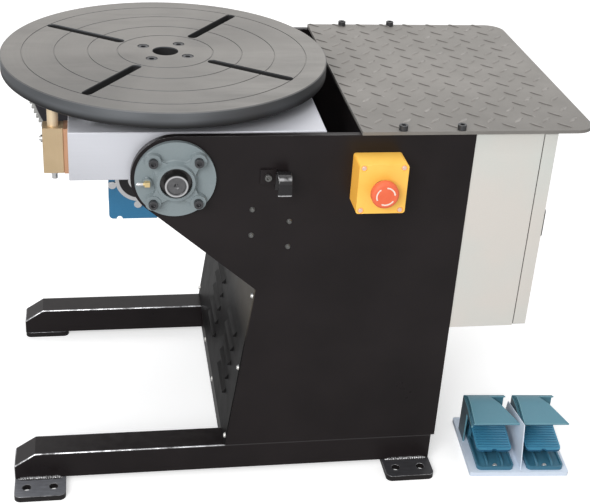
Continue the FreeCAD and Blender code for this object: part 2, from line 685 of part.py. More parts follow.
# ---------------------------------------------------------------- tilting box and its drive
def tilt_box():
    """Welded box that carries the spindle between the stub shafts."""
    outer = block(BOX_X0, BOX_X1, Y_BOX0, Y_BOX1, Z_BOX_BOTTOM, Z_BOX_TOP)
    edges = [e for e in outer.Edges if abs(e.tangentAt(e.FirstParameter).z) < 0.01]
    outer = outer.makeChamfer(1.0, edges)
    inner = block(BOX_X0 + BOX_WALL, BOX_X1 - BOX_WALL, Y_BOX0 + BOX_WALL, Y_BOX1 - BOX_WALL,
                  Z_BOX_BOTTOM + BOX_WALL, Z_BOX_TOP - BOX_WALL)
    cuts = [inner,
            rod(HOUSING_OD + 2 * FIT, (0, 0, Z_BOX_BOTTOM - 1), (0, 0, Z_BOX_TOP + 1)),
            rod(SHAFT_D + 2 * FIT, (0, Y_BOX0 - 1, Z_AXIS), (0, Y_BOX1 + 1, Z_AXIS))]
    for x, z in gear_bolts():
        cuts.append(rod(M8_SHANK_D + 2 * FIT, (x, Y_BOX1 - BOX_WALL - 1, z), (x, Y_BOX1 + 1, z)))
    return outer.cut(Part.makeCompound(cuts))


def spindle_housing():
    """Sleeve through the box, with a seat for a bearing at each end."""
    body = tube(HOUSING_OD, SPINDLE_D + 14, (0, 0, Z_BOX_BOTTOM), (0, 0, Z_BOX_TOP))
    for z0, z1 in ((Z_BOX_BOTTOM - 1, Z_BOX_BOTTOM + BEARING_W), (Z_BOX_TOP - BEARING_W, Z_BOX_TOP + 1)):
        body = body.cut(rod(BEARING_OD + 2 * FIT, (0, 0, z0), (0, 0, z1)))
    return body


def spindle_bearings():
    """Two sealed ball bearings, shown as their outer rings and shields."""
    rings = []
    for z in (Z_BOX_BOTTOM, Z_BOX_TOP - BEARING_W):
        ring = tube(BEARING_OD, BEARING_OD - 10, (0, 0, z), (0, 0, z + BEARING_W))
        for low in (z, z + BEARING_W - SHIELD_T):
            ring = ring.fuse(tube(BEARING_OD - 9, SPINDLE_D + 2 * RUN, (0, 0, low), (0, 0, low + SHIELD_T)))
        rings.append(ring)
    return rings


def spindle():
    """Flanged, hollow spindle that carries the table and stands in the worm wheel's bore."""
    top = -TABLE_T
    flange = rod(SPINDLE_FLANGE_D, (0, 0, Z_BOX_TOP + SPINDLE_GAP), (0, 0, top))
    body = rod(SPINDLE_D, (0, 0, Z_BOX_BOTTOM), (0, 0, top))
    tail = rod(SPINDLE_TAIL_D, (0, 0, Z_BOX_BOTTOM - STAGE2_H + 4), (0, 0, top))
    shape = fuse([flange, body, tail])
    cuts = [rod(SPINDLE_BORE_D, (0, 0, top - SPINDLE_BORE_L), (0, 0, top + 1))]
    for x, y in table_screws():
        cuts.append(rod(M10_SHANK_D + 2 * FIT, (x, y, Z_BOX_TOP), (x, y, top + 1)))
    return shape.cut(Part.makeCompound(cuts))


def table_screws():
    return [polar(TABLE_SCREW_PCD / 2, PATTERN_ANGLE + 90 * n) for n in range(4)]


def table():
    """Faced table with four radial slots, turned grooves, a bore and four sunk screws."""
    disc = rod(TABLE_D, (0, 0, -TABLE_T), (0, 0, 0))
    disc = disc.makeChamfer(RIM_CHAMFER, [e for e in disc.Edges if e.Closed])
    cuts = [rod(TABLE_BORE_D, (0, 0, -TABLE_T - 1), (0, 0, 1))]
    slot = block(SLOT_R0 + SLOT_W / 2, SLOT_R1 - SLOT_W / 2, -SLOT_W / 2, SLOT_W / 2, -TABLE_T - 1, 1)
    for r in (SLOT_R0 + SLOT_W / 2, SLOT_R1 - SLOT_W / 2):
        slot = slot.fuse(rod(SLOT_W, (r, 0, -TABLE_T - 1), (r, 0, 1)))
    slot = slot.removeSplitter()
    for n in range(4):
        cuts.append(turned(slot, PATTERN_ANGLE + 90 * n))
    for r in TABLE_GROOVE_R:
        cuts.append(tube(2 * r + GROOVE_W, 2 * r - GROOVE_W, (0, 0, -GROOVE_DEPTH), (0, 0, 1)))
    for x, y in table_screws():
        cuts.append(rod(M10_SHANK_D + CLEAR, (x, y, -TABLE_T - 1), (x, y, 1)))
        cuts.append(rod(SCREW_SINK_D, (x, y, -SCREW_SINK_H), (x, y, 1)))
    for cut in cuts:
        disc = disc.cut(cut)
    return disc


Z_STAGE = Z_BOX_BOTTOM - STAGE2_H / 2       # height of both stages' shared shaft
Y_STAGE1 = -STAGE2_HALF_L - 2.0             # back face of the first stage
Y_STAGE1_FRONT = Y_STAGE1 - STAGE1_T


def rotation_gearbox():
    """Second worm stage, bolted under the box, with the spindle's tail in its bore."""
    x0, x1 = -STAGE2_DIST - STAGE2_WORM_SIDE, STAGE2_REAR
    low = Z_BOX_BOTTOM - STAGE2_H
    body = round_block(x0, x1, -STAGE2_HALF_L, STAGE2_HALF_L, low, Z_BOX_BOTTOM, 14)
    nose = rod(64, (-STAGE2_DIST, Y_STAGE1, Z_STAGE), (-STAGE2_DIST, -STAGE2_HALF_L + 1, Z_STAGE))
    cover = rod(84, (0, 0, low - 5), (0, 0, low))
    shape = fuse([body, nose, cover])
    bore = rod(SPINDLE_TAIL_D + 2 * RUN, (0, 0, low - 6), (0, 0, Z_BOX_BOTTOM + 1))
    worm = rod(HOLLOW_ID + 2 * RUN, (-STAGE2_DIST, Y_STAGE1 - 1, Z_STAGE),
               (-STAGE2_DIST, -STAGE2_HALF_L + 30, Z_STAGE))
    return shape.cut(bore).cut(worm)


def first_stage_gearbox():
    """First worm stage: ribbed housing with feet, open to its cover ring at the front."""
    x0, x1 = -STAGE2_DIST - STAGE1_HALF_L, -STAGE2_DIST + STAGE1_HALF_L
    z0, z1 = Z_STAGE - STAGE1_BOTTOM, Z_STAGE + STAGE1_TOP
    core = round_block(x0 + 2, x1 - 2, Y_STAGE1_FRONT + 4, Y_STAGE1 - 4, z0 + 2, z1 - 2, 6, "Y")
    front = round_block(x0, x1, Y_STAGE1_FRONT, Y_STAGE1_FRONT + 8, z0, z1, 7, "Y")
    back = round_block(x0, x1, Y_STAGE1 - 8, Y_STAGE1, z0, z1, 7, "Y")
    ribs = [core, front, back]
    for n in range(7):
        z = z0 + 16 + n * (z1 - z0 - 24) / 6
        ribs.append(block(x0, x1, Y_STAGE1_FRONT + 2, Y_STAGE1 - 2, z - 1.5, z + 1.5))
    ribs.append(rod(MOTOR_NECK_D, (x1 - 6, (Y_STAGE1 + Y_STAGE1_FRONT) / 2, Z_STAGE - STAGE1_DIST),
                    (STAGE2_REAR + MOTOR_CLEARANCE, (Y_STAGE1 + Y_STAGE1_FRONT) / 2, Z_STAGE - STAGE1_DIST)))
    shape = fuse(ribs)
    cuts = [rod(HOLLOW_OD + 2 * RUN, (-STAGE2_DIST, Y_STAGE1_FRONT - 1, Z_STAGE),
                (-STAGE2_DIST, Y_STAGE1 + 1, Z_STAGE))]
    for dx in (-31, 31):
        cuts.append(rod(9, (-STAGE2_DIST + dx, Y_STAGE1_FRONT - 1, z0), (-STAGE2_DIST + dx, Y_STAGE1 + 1, z0)))
    return shape.cut(Part.makeCompound(cuts))


def cover_ring():
    """Bare metal cover ring on the first stage's front, with four screw ears."""
    centre = (-STAGE2_DIST, Y_STAGE1_FRONT, Z_STAGE)
    front = (-STAGE2_DIST, Y_STAGE1_FRONT - COVER_RING_T, Z_STAGE)
    pieces = [rod(COVER_RING_D, centre, front)]
    for angle in EAR_ANGLES:
        x, z = polar(EAR_PCD / 2, angle)
        x -= STAGE2_DIST
        pieces.append(rod(EAR_D, (x, centre[1], Z_STAGE + z), (x, front[1], Z_STAGE + z)))
    shape = fuse(pieces)
    return shape.cut(rod(COVER_RING_ID, (-STAGE2_DIST, front[1] - 1, Z_STAGE),
                         (-STAGE2_DIST, centre[1] + 1, Z_STAGE)))


def output_seal():
    """Rubber shaft seal inside the cover ring."""
    return tube(COVER_RING_ID - 2 * FIT, HOLLOW_OD + 2 * RUN, (-STAGE2_DIST, Y_STAGE1_FRONT, Z_STAGE),
                (-STAGE2_DIST, Y_STAGE1_FRONT - COVER_RING_T + 1, Z_STAGE))


def hollow_shaft():
    """The first stage's hollow output shaft, with the second stage's worm shaft in it."""
    start = Y_STAGE1_FRONT - COVER_RING_T - HOLLOW_OUT
    outer = tube(HOLLOW_OD, HOLLOW_ID, (-STAGE2_DIST, start, Z_STAGE), (-STAGE2_DIST, Y_STAGE1 - 0.5, Z_STAGE))
    worm = rod(HOLLOW_ID, (-STAGE2_DIST, start + 8, Z_STAGE), (-STAGE2_DIST, -STAGE2_HALF_L + 28, Z_STAGE))
    return outer.fuse(worm)


def motor(length, d):
    """A finned motor body along +X from the origin, with its round flange."""
    pieces = [rod(MOTOR_FLANGE_D, (0, 0, 0), (MOTOR_FLANGE_T, 0, 0)),
              rod(d - 2 * FIN_H, (MOTOR_FLANGE_T - 1, 0, 0), (length, 0, 0)),
              rod(d - 4, (length - 8, 0, 0), (length, 0, 0))]
    fin = block(MOTOR_FLANGE_T + 6, length - 8, -FIN_T / 2, FIN_T / 2, d / 2 - FIN_H - 1, d / 2)
    for n in range(FIN_COUNT):
        pieces.append(turned(fin, 360 * (n + 0.5) / FIN_COUNT, (0, 0, 0), (1, 0, 0)))
    pieces.append(round_block(length * 0.35, length * 0.8, -32, 32, d / 2 - 8, d / 2 + 26, 5))
    return fuse(pieces)


def fan_cowl(length, d):
    """The fan cowl behind a motor: a closed cap with a grille of slots in its end."""
    cowl = rod(d, (length, 0, 0), (length + COWL_L, 0, 0))
    rim = [e for e in cowl.Edges if e.Closed and abs(e.CenterOfMass.x - length - COWL_L) < 0.01]
    cowl = cowl.makeFillet(8, rim[:1])
    for ring_r in (18, 32, 46):
        slot = tube(2 * ring_r + 5, 2 * ring_r - 1, (length + COWL_L - 3, 0, 0), (length + COWL_L + 1, 0, 0))
        cross = [block(length, length + COWL_L + 2, -3, 3, -d, d), block(length, length + COWL_L + 2, -d, d, -3, 3)]
        cowl = cowl.cut(slot.cut(Part.makeCompound(cross)))
    return cowl


# ---------------------------------------------------------------- emergency stop
def estop_parts():
    """Box, lid, lid screws, collar, stem and mushroom head, standing on the operator's side plate."""
    x0, x1 = ESTOP_X - ESTOP_W / 2, ESTOP_X + ESTOP_W / 2
    z = Z_AXIS + ESTOP_Z
    z0, z1 = z - ESTOP_H / 2, z + ESTOP_H / 2
    seam, face = Y_FRONT - ESTOP_BASE_T, Y_FRONT - ESTOP_BASE_T - ESTOP_LID_T
    base = round_block(x0, x1, seam, Y_FRONT, z0, z1, ESTOP_R, "Y")
    base = base.cut(round_block(x0 + 2.5, x1 - 2.5, seam - 1, Y_FRONT - 2.5, z0 + 2.5, z1 - 2.5, 2, "Y"))
    lid = round_block(x0, x1, face, seam, z0, z1, ESTOP_R, "Y")
    lid = lid.cut(round_block(x0 + 2.5, x1 - 2.5, face + 3, seam + 1, z0 + 2.5, z1 - 2.5, 2, "Y"))
    seats = [(ESTOP_X + sx * ESTOP_SCREW_X, face + 1.5, z + sz * ESTOP_SCREW_Z)
             for sx in (-1, 1) for sz in (-1, 1)]
    for seat in seats:
        post = rod(7, (seat[0], seam, seat[2]), (seat[0], Y_FRONT - 2, seat[2]))
        base = base.fuse(post).cut(rod(M5_SHANK_D - 1 + 2 * FIT, (seat[0], seam - 1, seat[2]),
                                       (seat[0], seam + 14, seat[2])))
        lid = lid.fuse(rod(8, (seat[0], face + 2, seat[2]), (seat[0], seam, seat[2])))
        lid = lid.cut(rod(M5_SHANK_D - 1 + 2 * FIT, (seat[0], face - 1, seat[2]), (seat[0], seam + 1, seat[2])))
        lid = lid.cut(rod(M5_HEAD_D, (seat[0], face - 1, seat[2]), (seat[0], face + 1.5, seat[2])))
    base = base.common(round_block(x0, x1, seam, Y_FRONT, z0, z1, ESTOP_R, "Y"))
    screws = []
    for sx, sy, sz in seats:
        head = cone(M5_HEAD_D - 1, M5_HEAD_D - 3, (sx, sy, sz), (sx, sy - 2.0, sz))
        screws.append(head.fuse(rod(M5_SHANK_D - 1, (sx, sy, sz), (sx, sy + 20, sz))))
    hole = rod(22 + 2 * FIT, (ESTOP_X, face - 1, z), (ESTOP_X, face + 4, z))
    lid = lid.cut(hole)
    collar = rod(29, (ESTOP_X, face, z), (ESTOP_X, face - 5, z)).fuse(
        rod(22, (ESTOP_X, face - 1, z), (ESTOP_X, face + 3, z)))
    nut = tube(28, 22, (ESTOP_X, face + 3, z), (ESTOP_X, face + 6.5, z))
    collar = fuse([collar, rod(22, (ESTOP_X, face, z), (ESTOP_X, face + 24, z)), nut])
    collar = collar.cut(rod(14 + 2 * RUN, (ESTOP_X, face - 6, z), (ESTOP_X, face + 25, z)))
    stem = rod(14, (ESTOP_X, face - 5 - HEAD_TRAVEL - 1, z), (ESTOP_X, face + 12, z))
    back = face - 5 - HEAD_TRAVEL - 1
    dome = rod(HEAD_D, (ESTOP_X, back, z), (ESTOP_X, back - HEAD_T, z))
    rims = [e for e in dome.Edges if e.Closed]
    dome = dome.makeFillet(4.5, [e for e in rims if e.CenterOfMass.y < back - 1])
    return base, lid, screws, collar, stem, dome


# ---------------------------------------------------------------- small fittings on the side plate
def cable_hook():
    """Flat bar hook for the pedal cable: a strap on the plate, bent out and up to a tip."""
    x0, x1 = HOOK_X, HOOK_X + HOOK_W
    y, t = Y_FRONT, HOOK_T
    low = Z_AXIS - HOOK_DROP
    strap = block(x0 - HOOK_TAIL, x1, y - t, y, Z_AXIS - HOOK_STRAP_H / 2 + 1, Z_AXIS + HOOK_STRAP_H / 2 + 1)
    arm = block(x0, x1, y - HOOK_REACH, y, low, low + t)
    rise = block(x0, x1, y - HOOK_REACH - t, y - HOOK_REACH, low, low + HOOK_STRAP_H)
    back = block(x0, x1, y - t, y, low, Z_AXIS)
    hook = fuse([strap, arm, rise, back])
    corner = [e for e in hook.Edges if abs(e.tangentAt(e.FirstParameter).x) > 0.99
              and abs(e.CenterOfMass.y - (y - HOOK_REACH - t)) < 0.1 and abs(e.CenterOfMass.z - low) < 0.1]
    hook = hook.makeFillet(t, corner)
    x, z = hook_bolt_place()
    return hook.cut(rod(M6_SHANK_D + CLEAR, (x, y - t - 1, z), (x, y + 1, z)))


def hook_bolt_place():
    """(x, z) of the hook's bolt, in the middle of its tail."""
    return HOOK_X - HOOK_TAIL / 2, Z_AXIS + 1


def switch_bodies():
    """Two limit switches on the inside of the operator's side plate, with their roller heads."""
    bodies = []
    for x, z in SWITCHES:
        z += Z_AXIS
        half_w, half_h = SWITCH_W / 2, SWITCH_H / 2
        body = round_block(x - half_w, x + half_w, Y_IN_FRONT, Y_IN_FRONT + SWITCH_T,
                           z - half_h, z + half_h, 3, "Y")
        top = z + half_h + SWITCH_HEAD_H
        head = block(x - SWITCH_HEAD_W / 2, x + SWITCH_HEAD_W / 2, Y_IN_FRONT + 4, Y_IN_FRONT + SWITCH_T - 2,
                     z + half_h - 1, top)
        middle = Y_IN_FRONT + SWITCH_T / 2 + 1
        fork = block(x - 3, x + 3, middle - ROLLER_T / 2 - 2, middle - ROLLER_T / 2, top - 1, top + ROLLER_D / 2)
        roller = rod(ROLLER_D, (x, middle - ROLLER_T / 2, top + ROLLER_D / 2 + 1),
                     (x, middle + ROLLER_T / 2, top + ROLLER_D / 2 + 1))
        body = fuse([body, head, fork, roller])
        for dz in (-0.5, 0.5):
            zz = z + dz * SWITCH_PITCH
            body = body.cut(rod(M5_SHANK_D + 2 * FIT, (x, Y_IN_FRONT - 1, zz), (x, Y_IN_FRONT + 20, zz)))
        bodies.append(body)
    return bodies


# ---------------------------------------------------------------- earth contact on the box's left side
def earth_parts():
    """Brass block on a copper strip, its sprung contact rod, cable lug bolt and adjusting screw."""
    x0, x1 = BOX_X0 - STRIP_T - BLOCK_W, BOX_X0 - STRIP_T
    y0, y1 = Y_BOX0 + BLOCK_FROM_END, Y_BOX0 + BLOCK_FROM_END + BLOCK_L
    top, low = Z_AXIS + BLOCK_TOP, Z_AXIS + BLOCK_TOP - BLOCK_H
    xm, ym = (x0 + x1) / 2, (y0 + y1) / 2
    brass = block(x0, x1, y0, y1, low, top)
    brass = brass.makeChamfer(1.2, [e for e in brass.Edges if abs(e.tangentAt(e.FirstParameter).z) > 0.9])
    brass = brass.cut(rod(ROD_D + 2 * RUN, (xm, ym, low + 12), (xm, ym, top + 1)))
    brass = brass.cut(rod(8 + 2 * FIT, (xm, ym, low - 1), (xm, ym, low + 13)))
    lug_z = (top + low) / 2 + 14
    brass = brass.cut(rod(6 + 2 * FIT, (x0 - 1, ym, lug_z), (x0 + 5, ym, lug_z)))
    strip = block(x1, BOX_X0, y0 - 2, y1 + 2, low, top)
    contact = rod(ROD_D, (xm, ym, low + 30), (xm, ym, -TABLE_T - ROD_TABLE_GAP))
    lug = rod(6, (x0 - 5, ym, lug_z), (x0 + 4, ym, lug_z)).fuse(rod(11, (x0 - 3, ym, lug_z), (x0, ym, lug_z)))
    adjust = rod(8, (xm, ym, low - 14), (xm, ym, low + 12))
    adjust = adjust.fuse(rod(13, (xm, ym, low - 5), (xm, ym, low)))
    return brass, strip, contact, [lug, adjust]


# ---------------------------------------------------------------- cabinet
CAB_Y = FRAME_WIDTH / 2 - 1.0
CAB_X1 = PLATE_END_X + CAB_DEPTH
Z_CAB = Z_AXIS + CAB_BOTTOM
DOOR_X1 = CAB_X1 + DOOR_GAP + DOOR_T
HINGE_X = CAB_X1 + DOOR_GAP / 2
HINGE_Y = CAB_Y + HINGE_R + 1.0
HANDLE_Y = -CAB_Y + HANDLE_IN
HINGE_Z = (Z_CAB + 60.0, Z_PLATE_TOP - 62.0)
CAM_T = 3.0
CAM_REACH = 22.0


def cabinet_wall(outer, inner):
    """One wall: the strip between an outer and an inner edge, mitred where it meets the next wall."""
    corners = [outer[0], outer[1], inner[1], inner[0]]
    face = Part.Face(Part.makePolygon([V(PLATE_END_X, y, z) for y, z in corners + corners[:1]]))
    return face.extrude(V(CAB_DEPTH, 0, 0))


def cabinet_shell():
    """Back and four walls, mitred and welded at the corners, and the four lip strips inside its mouth."""
    w = CAB_WALL
    y, z0, z1 = CAB_Y - w, Z_CAB + w, Z_PLATE_TOP - w
    outside = [(-CAB_Y, Z_CAB), (CAB_Y, Z_CAB), (CAB_Y, Z_PLATE_TOP), (-CAB_Y, Z_PLATE_TOP)]
    inside = [(-y, z0), (y, z0), (y, z1), (-y, z1)]
    pieces = [block(PLATE_END_X, PLATE_END_X + w, -y, y, z0, z1)]
    for n in range(4):
        after = (n + 1) % 4
        pieces.append(cabinet_wall((outside[n], outside[after]), (inside[n], inside[after])))
    for side in (-1, 1):
        ends = sorted((side * y, side * (y - CAB_LIP)))
        pieces.append(block(CAB_X1 - w, CAB_X1, ends[0], ends[1], z0, z1))
    for low, high in ((z0, z0 + CAB_LIP), (z1 - CAB_LIP, z1)):
        pieces.append(block(CAB_X1 - w, CAB_X1, -y + CAB_LIP, y - CAB_LIP, low, high))
    return pieces


def cabinet_door():
    """Door: a shallow tray that closes over the shell's lip."""
    x0, x1 = CAB_X1 + DOOR_GAP, DOOR_X1
    z0, z1 = Z_CAB + 1, Z_PLATE_TOP - 1.5
    tray = round_block(x0, x1, -CAB_Y, CAB_Y, z0, z1, 2, "X")
    tray = tray.cut(block(x0 - 1, x1 - CAB_WALL, -CAB_Y + CAB_WALL, CAB_Y - CAB_WALL,
                          z0 + CAB_WALL, z1 - CAB_WALL))
    for z in HINGE_Z:
        leaf = block(x0, x0 + 14, CAB_Y - 1, CAB_Y + 2, z - HINGE_L / 2, z + HINGE_L / 2)
        barrel = rod(2 * HINGE_R, (HINGE_X, HINGE_Y, z + 0.3), (HINGE_X, HINGE_Y, z + HINGE_L / 2))
        web = block(HINGE_X, x0 + 14, CAB_Y, HINGE_Y, z + 0.3, z + HINGE_L / 2)
        leaf = leaf.cut(block(x0 - 1, x0 + 15, CAB_Y - 2, CAB_Y + 3, z - HINGE_L, z + 0.3))
        tray = fuse([tray, leaf, barrel, web])
        tray = tray.cut(rod(6 + 2 * RUN, (HINGE_X, HINGE_Y, z - 1), (HINGE_X, HINGE_Y, z + HINGE_L / 2 + 1)))
    hole = rod(16 + 2 * RUN, (x1 - 5, HANDLE_Y, Z_AXIS + HANDLE_Z), (x1 + 1, HANDLE_Y, Z_AXIS + HANDLE_Z))
    return tray.cut(hole)


def hinge_brackets():
    """The shell's hinge halves, each with its pin."""
    halves = []
    for z in HINGE_Z:
        barrel = rod(2 * HINGE_R, (HINGE_X, HINGE_Y, z - HINGE_L / 2), (HINGE_X, HINGE_Y, z - 0.3))
        leaf = block(CAB_X1 - 22, HINGE_X, CAB_Y, CAB_Y + 3, z - HINGE_L / 2, z - 0.3)
        web = block(HINGE_X - 4, HINGE_X, CAB_Y, HINGE_Y, z - HINGE_L / 2, z - 0.3)
        pin = rod(6, (HINGE_X, HINGE_Y, z - 2), (HINGE_X, HINGE_Y, z + HINGE_L / 2 - 1))
        halves.append(fuse([barrel, leaf, web, pin]))
    return halves


def door_gasket():
    """Four rubber strips on the shell's lip, under the door's edge."""
    x0, x1 = CAB_X1, CAB_X1 + GASKET_T
    y, z0, z1 = CAB_Y - GASKET_IN, Z_CAB + GASKET_IN, Z_PLATE_TOP - GASKET_IN
    strips = []
    for side in (-1, 1):
        ends = sorted((side * y, side * (y - GASKET_W)))
        strips.append(block(x0, x1, ends[0], ends[1], z0, z1))
    for low, high in ((z0, z0 + GASKET_W), (z1 - GASKET_W, z1)):
        strips.append(block(x0, x1, -y + GASKET_W, y - GASKET_W, low, high))
    return strips


def door_handle():
    """Quarter-turn wing handle with its cam behind the door."""
    z = Z_AXIS + HANDLE_Z
    wing = round_block(DOOR_X1 + 0.5, DOOR_X1 + HANDLE_OUT, HANDLE_Y - HANDLE_W / 2, HANDLE_Y + HANDLE_W / 2,
                       z - HANDLE_L / 2, z + HANDLE_L / 2, 5, "X")
    behind = CAB_X1 - CAB_WALL - 1.0
    stem = rod(16, (behind - CAM_T, HANDLE_Y, z), (DOOR_X1 + 1, HANDLE_Y, z))
    cam = block(behind - CAM_T, behind, HANDLE_Y - 8, HANDLE_Y + 8, z - 8, z + CAM_REACH)
    return fuse([wing, stem, cam])


def cabinet_contents():
    """Mounting plate, two motor drives, and rail-mounted control gear."""
    x = PLATE_END_X + CAB_WALL
    plate = block(x + 8, x + 10, -CAB_Y + 24, CAB_Y - 24, Z_CAB + 22, Z_PLATE_TOP - 20)
    for y in (-CAB_Y + 40, CAB_Y - 40):
        for z in (Z_CAB + 40, Z_PLATE_TOP - 40):
            plate = plate.fuse(rod(12, (x, y, z), (x + 8, y, z)))
    front = x + 10
    drives = []
    for y in (-170, -70):
        body = round_block(front, front + DRIVE_DEPTH, y, y + 76, Z_PLATE_TOP - 190, Z_PLATE_TOP - 40, 3, "X")
        for n in range(6):
            yy = y + 8 + n * 11
            body = body.cut(block(front + DRIVE_DEPTH - 16, front + DRIVE_DEPTH + 1, yy, yy + 5,
                                  Z_PLATE_TOP - 186, Z_PLATE_TOP - 160))
        drives.append(body)
    gear = [block(front, front + 8, 30, 190, Z_PLATE_TOP - 78, Z_PLATE_TOP - 43).cut(
        block(front - 1, front + 6, 29, 191, Z_PLATE_TOP - 72, Z_PLATE_TOP - 49))]
    rail = gear[0]
    modules = [block(front + 8, front + 60, 40 + n * 30, 66 + n * 30, Z_PLATE_TOP - 100, Z_PLATE_TOP - 30)
               for n in range(4)]
    terminals = [block(front, front + 34, -180 + n * 14, -168 + n * 14, Z_CAB + 40, Z_CAB + 82) for n in range(12)]
    return plate, drives, [rail] + modules + terminals


# ---------------------------------------------------------------- foot pedals, in their own frame
def pedal_place(shape):
    """Local (across, back, up) from the tray's front left corner to the machine's frame."""
    copy = shape.copy()
    copy.rotate(V(0, 0, 0), V(0, 0, 1), PEDAL_TURN)
    copy.translate(V(PEDAL_X, PEDAL_Y, Z_FLOOR))
    return copy


def pedal_tray():
    """Tray turned down at its edges, with the upright divider between the pedals."""
    t = TRAY_T
    tray = round_block(0, TRAY_W, 0, TRAY_L, 0, TRAY_H, TRAY_CORNER_R)
    tray = tray.cut(block(t, TRAY_W - t, t, TRAY_L - t, -1, TRAY_H - t))
    low, high = TRAY_H - t, TRAY_H + DIVIDER_H
    outline = [(PEDAL_FRONT, low), (PEDAL_FRONT + DIVIDER_LEAN, high),
               (TRAY_L - 26, high - DIVIDER_FALL), (TRAY_L - 10, low)]
    sheet = prism_x(outline, DIVIDER_AT - DIVIDER_T / 2, DIVIDER_AT + DIVIDER_T / 2)
    shape = fuse([tray, sheet])
    for centre in PEDAL_CENTRES:
        u, v = pedal_screw_place(centre)
        shape = shape.cut(rod(M5_SHANK_D + 2 * FIT, (u, v, low - 1), (u, v, TRAY_H + 1)))
    return shape


def pedal_screw_place(centre):
    return centre, PEDAL_FRONT + PEDAL_SCREW_BACK


def pedal_ear_sides(side):
    """Inner and outer face of a pivot ear, from the pedal's middle."""
    outer = PEDAL_BASE_W / 2 - 1.5
    return sorted((side * outer, side * (outer - EAR_T)))


def pedal_base(centre):
    """Cast base: a shallow rim round a floor with two ridges, pivot ears and the rear switch housing."""
    h = PEDAL_BASE_W / 2
    v0, v1 = PEDAL_FRONT, PEDAL_FRONT + PEDAL_BASE_L
    low, floor, top = TRAY_H, TRAY_H + PEDAL_FLOOR_T, TRAY_H + PEDAL_BASE_H
    rim = round_block(centre - h, centre + h, v0, v1, low, top, PEDAL_CORNER_R)
    r = PEDAL_RIM
    inside = round_block(centre - h + r, centre + h - r, v0 + r, v1 - r, floor, top + 1, PEDAL_CORNER_R - r)
    pieces = [rim.cut(inside)]
    for side in (-1, 1):
        u = centre + side * RIDGE_PITCH / 2
        ridge = prism_x([(v0 + r + 1, floor - 1), (v0 + r + 10, floor + RIDGE_H), (v0 + RIDGE_L, floor + RIDGE_H),
                         (v0 + RIDGE_L, floor - 1)], u - RIDGE_W / 2, u + RIDGE_W / 2)
        pieces.append(ridge)
        near, far = pedal_ear_sides(side)
        ear = prism_x([(PIVOT_V - EAR_L / 2 - 2, floor - 1), (PIVOT_V + EAR_L / 2, floor - 1),
                       (PIVOT_V + EAR_L / 2 - 2, PIVOT_W + PIVOT_D), (PIVOT_V - EAR_L / 2, PIVOT_W + PIVOT_D)],
                      centre + near, centre + far)
        pieces.append(ear)
    switch = round_block(centre - h + 12, centre + h - 12, PIVOT_V + PIVOT_TUBE_D / 2 + 1, v1 - r - 1,
                         floor - 1, PIVOT_W + 12, 1.5)
    pieces.append(switch)
    shape = fuse(pieces)
    pin = rod(PIVOT_D + 2 * FIT, (centre - h - 1, PIVOT_V, PIVOT_W), (centre + h + 1, PIVOT_V, PIVOT_W))
    u, v = pedal_screw_place(centre)
    return shape.cut(pin).cut(rod(M5_SHANK_D + 2 * FIT, (u, v, low - 1), (u, v, top + 6)))


def hood_profile(inset):
    """Side view of the hood's roof and rear wall, drawn in by inset: (v, w) from the lip to the rear."""
    flat = TRAY_H + HOOD_H - inset
    lip = flat - HOOD_LIP_DROP
    rear = PEDAL_FRONT + PEDAL_BASE_L + HOOD_T + 0.5 - inset
    return [(HOOD_LIP, lip), (HOOD_FLAT[0], flat), (HOOD_FLAT[1], flat), (rear, flat - 5), (rear, TRAY_H)]


def pedal_hood(centre):
    """Cast guard hood: flat and sloping roof, a wing flared to the right, rear wall and left wall."""
    t = HOOD_T
    left, right = centre - HOOD_LEFT, centre + HOOD_WING
    rear = hood_profile(0)[-1][0]
    outer = prism_x([(HOOD_LIP, TRAY_H)] + hood_profile(0), left, right)
    inner = prism_x([(HOOD_LIP - 1, TRAY_H - 1), (HOOD_LIP - 1, hood_profile(t)[0][1] - 0.25)]
                    + hood_profile(t)[:-1] + [(rear - t, TRAY_H - 1)], left + t, right + 1)
    shape = outer.cut(inner)
    flat = TRAY_H + HOOD_H
    lip = flat - HOOD_LIP_DROP
    plan = [V(left, HOOD_LIP - 1, 0), V(right, HOOD_LIP - 1, 0), V(right, HOOD_LIP + 1, 0),
            V(centre + HOOD_REAR_RIGHT, HOOD_FLAT[1], 0), V(centre + PEDAL_BASE_W / 2, HOOD_FLAT[1], 0),
            V(centre + PEDAL_BASE_W / 2, rear + 1, 0), V(left, rear + 1, 0)]
    above = Part.Face(Part.makePolygon(plan + plan[:1])).extrude(V(0, 0, flat + 10))
    shape = shape.common(above)
    shoulder = HOOD_LEFT - HOOD_EDGE
    for v0, v1, w0, w1 in ((HOOD_LIP - 1, HOOD_FLAT[0], lip, flat), (HOOD_FLAT[0], rear + 1, flat, flat)):
        corners = [V(left - 1, v0, w0 - HOOD_SHOULDER - 1.1), V(left - 1, v0, w0 + 1),
                   V(left + shoulder, v0, w0 + 0.01)]
        low = Part.makePolygon(corners + corners[:1])
        corners = [V(left - 1, v1, w1 - HOOD_SHOULDER - 1.1), V(left - 1, v1, w1 + 1),
                   V(left + shoulder, v1, w1 + 0.01)]
        high = Part.makePolygon(corners + corners[:1])
        shape = shape.cut(Part.makeLoft([low, high], True, True))
    wall_gap = block(left - 1, left + t + 0.1, HOOD_LIP - 2, HOOD_WALL_FROM, TRAY_H - 1, lip - HOOD_SHOULDER - 2)
    return shape.cut(wall_gap)


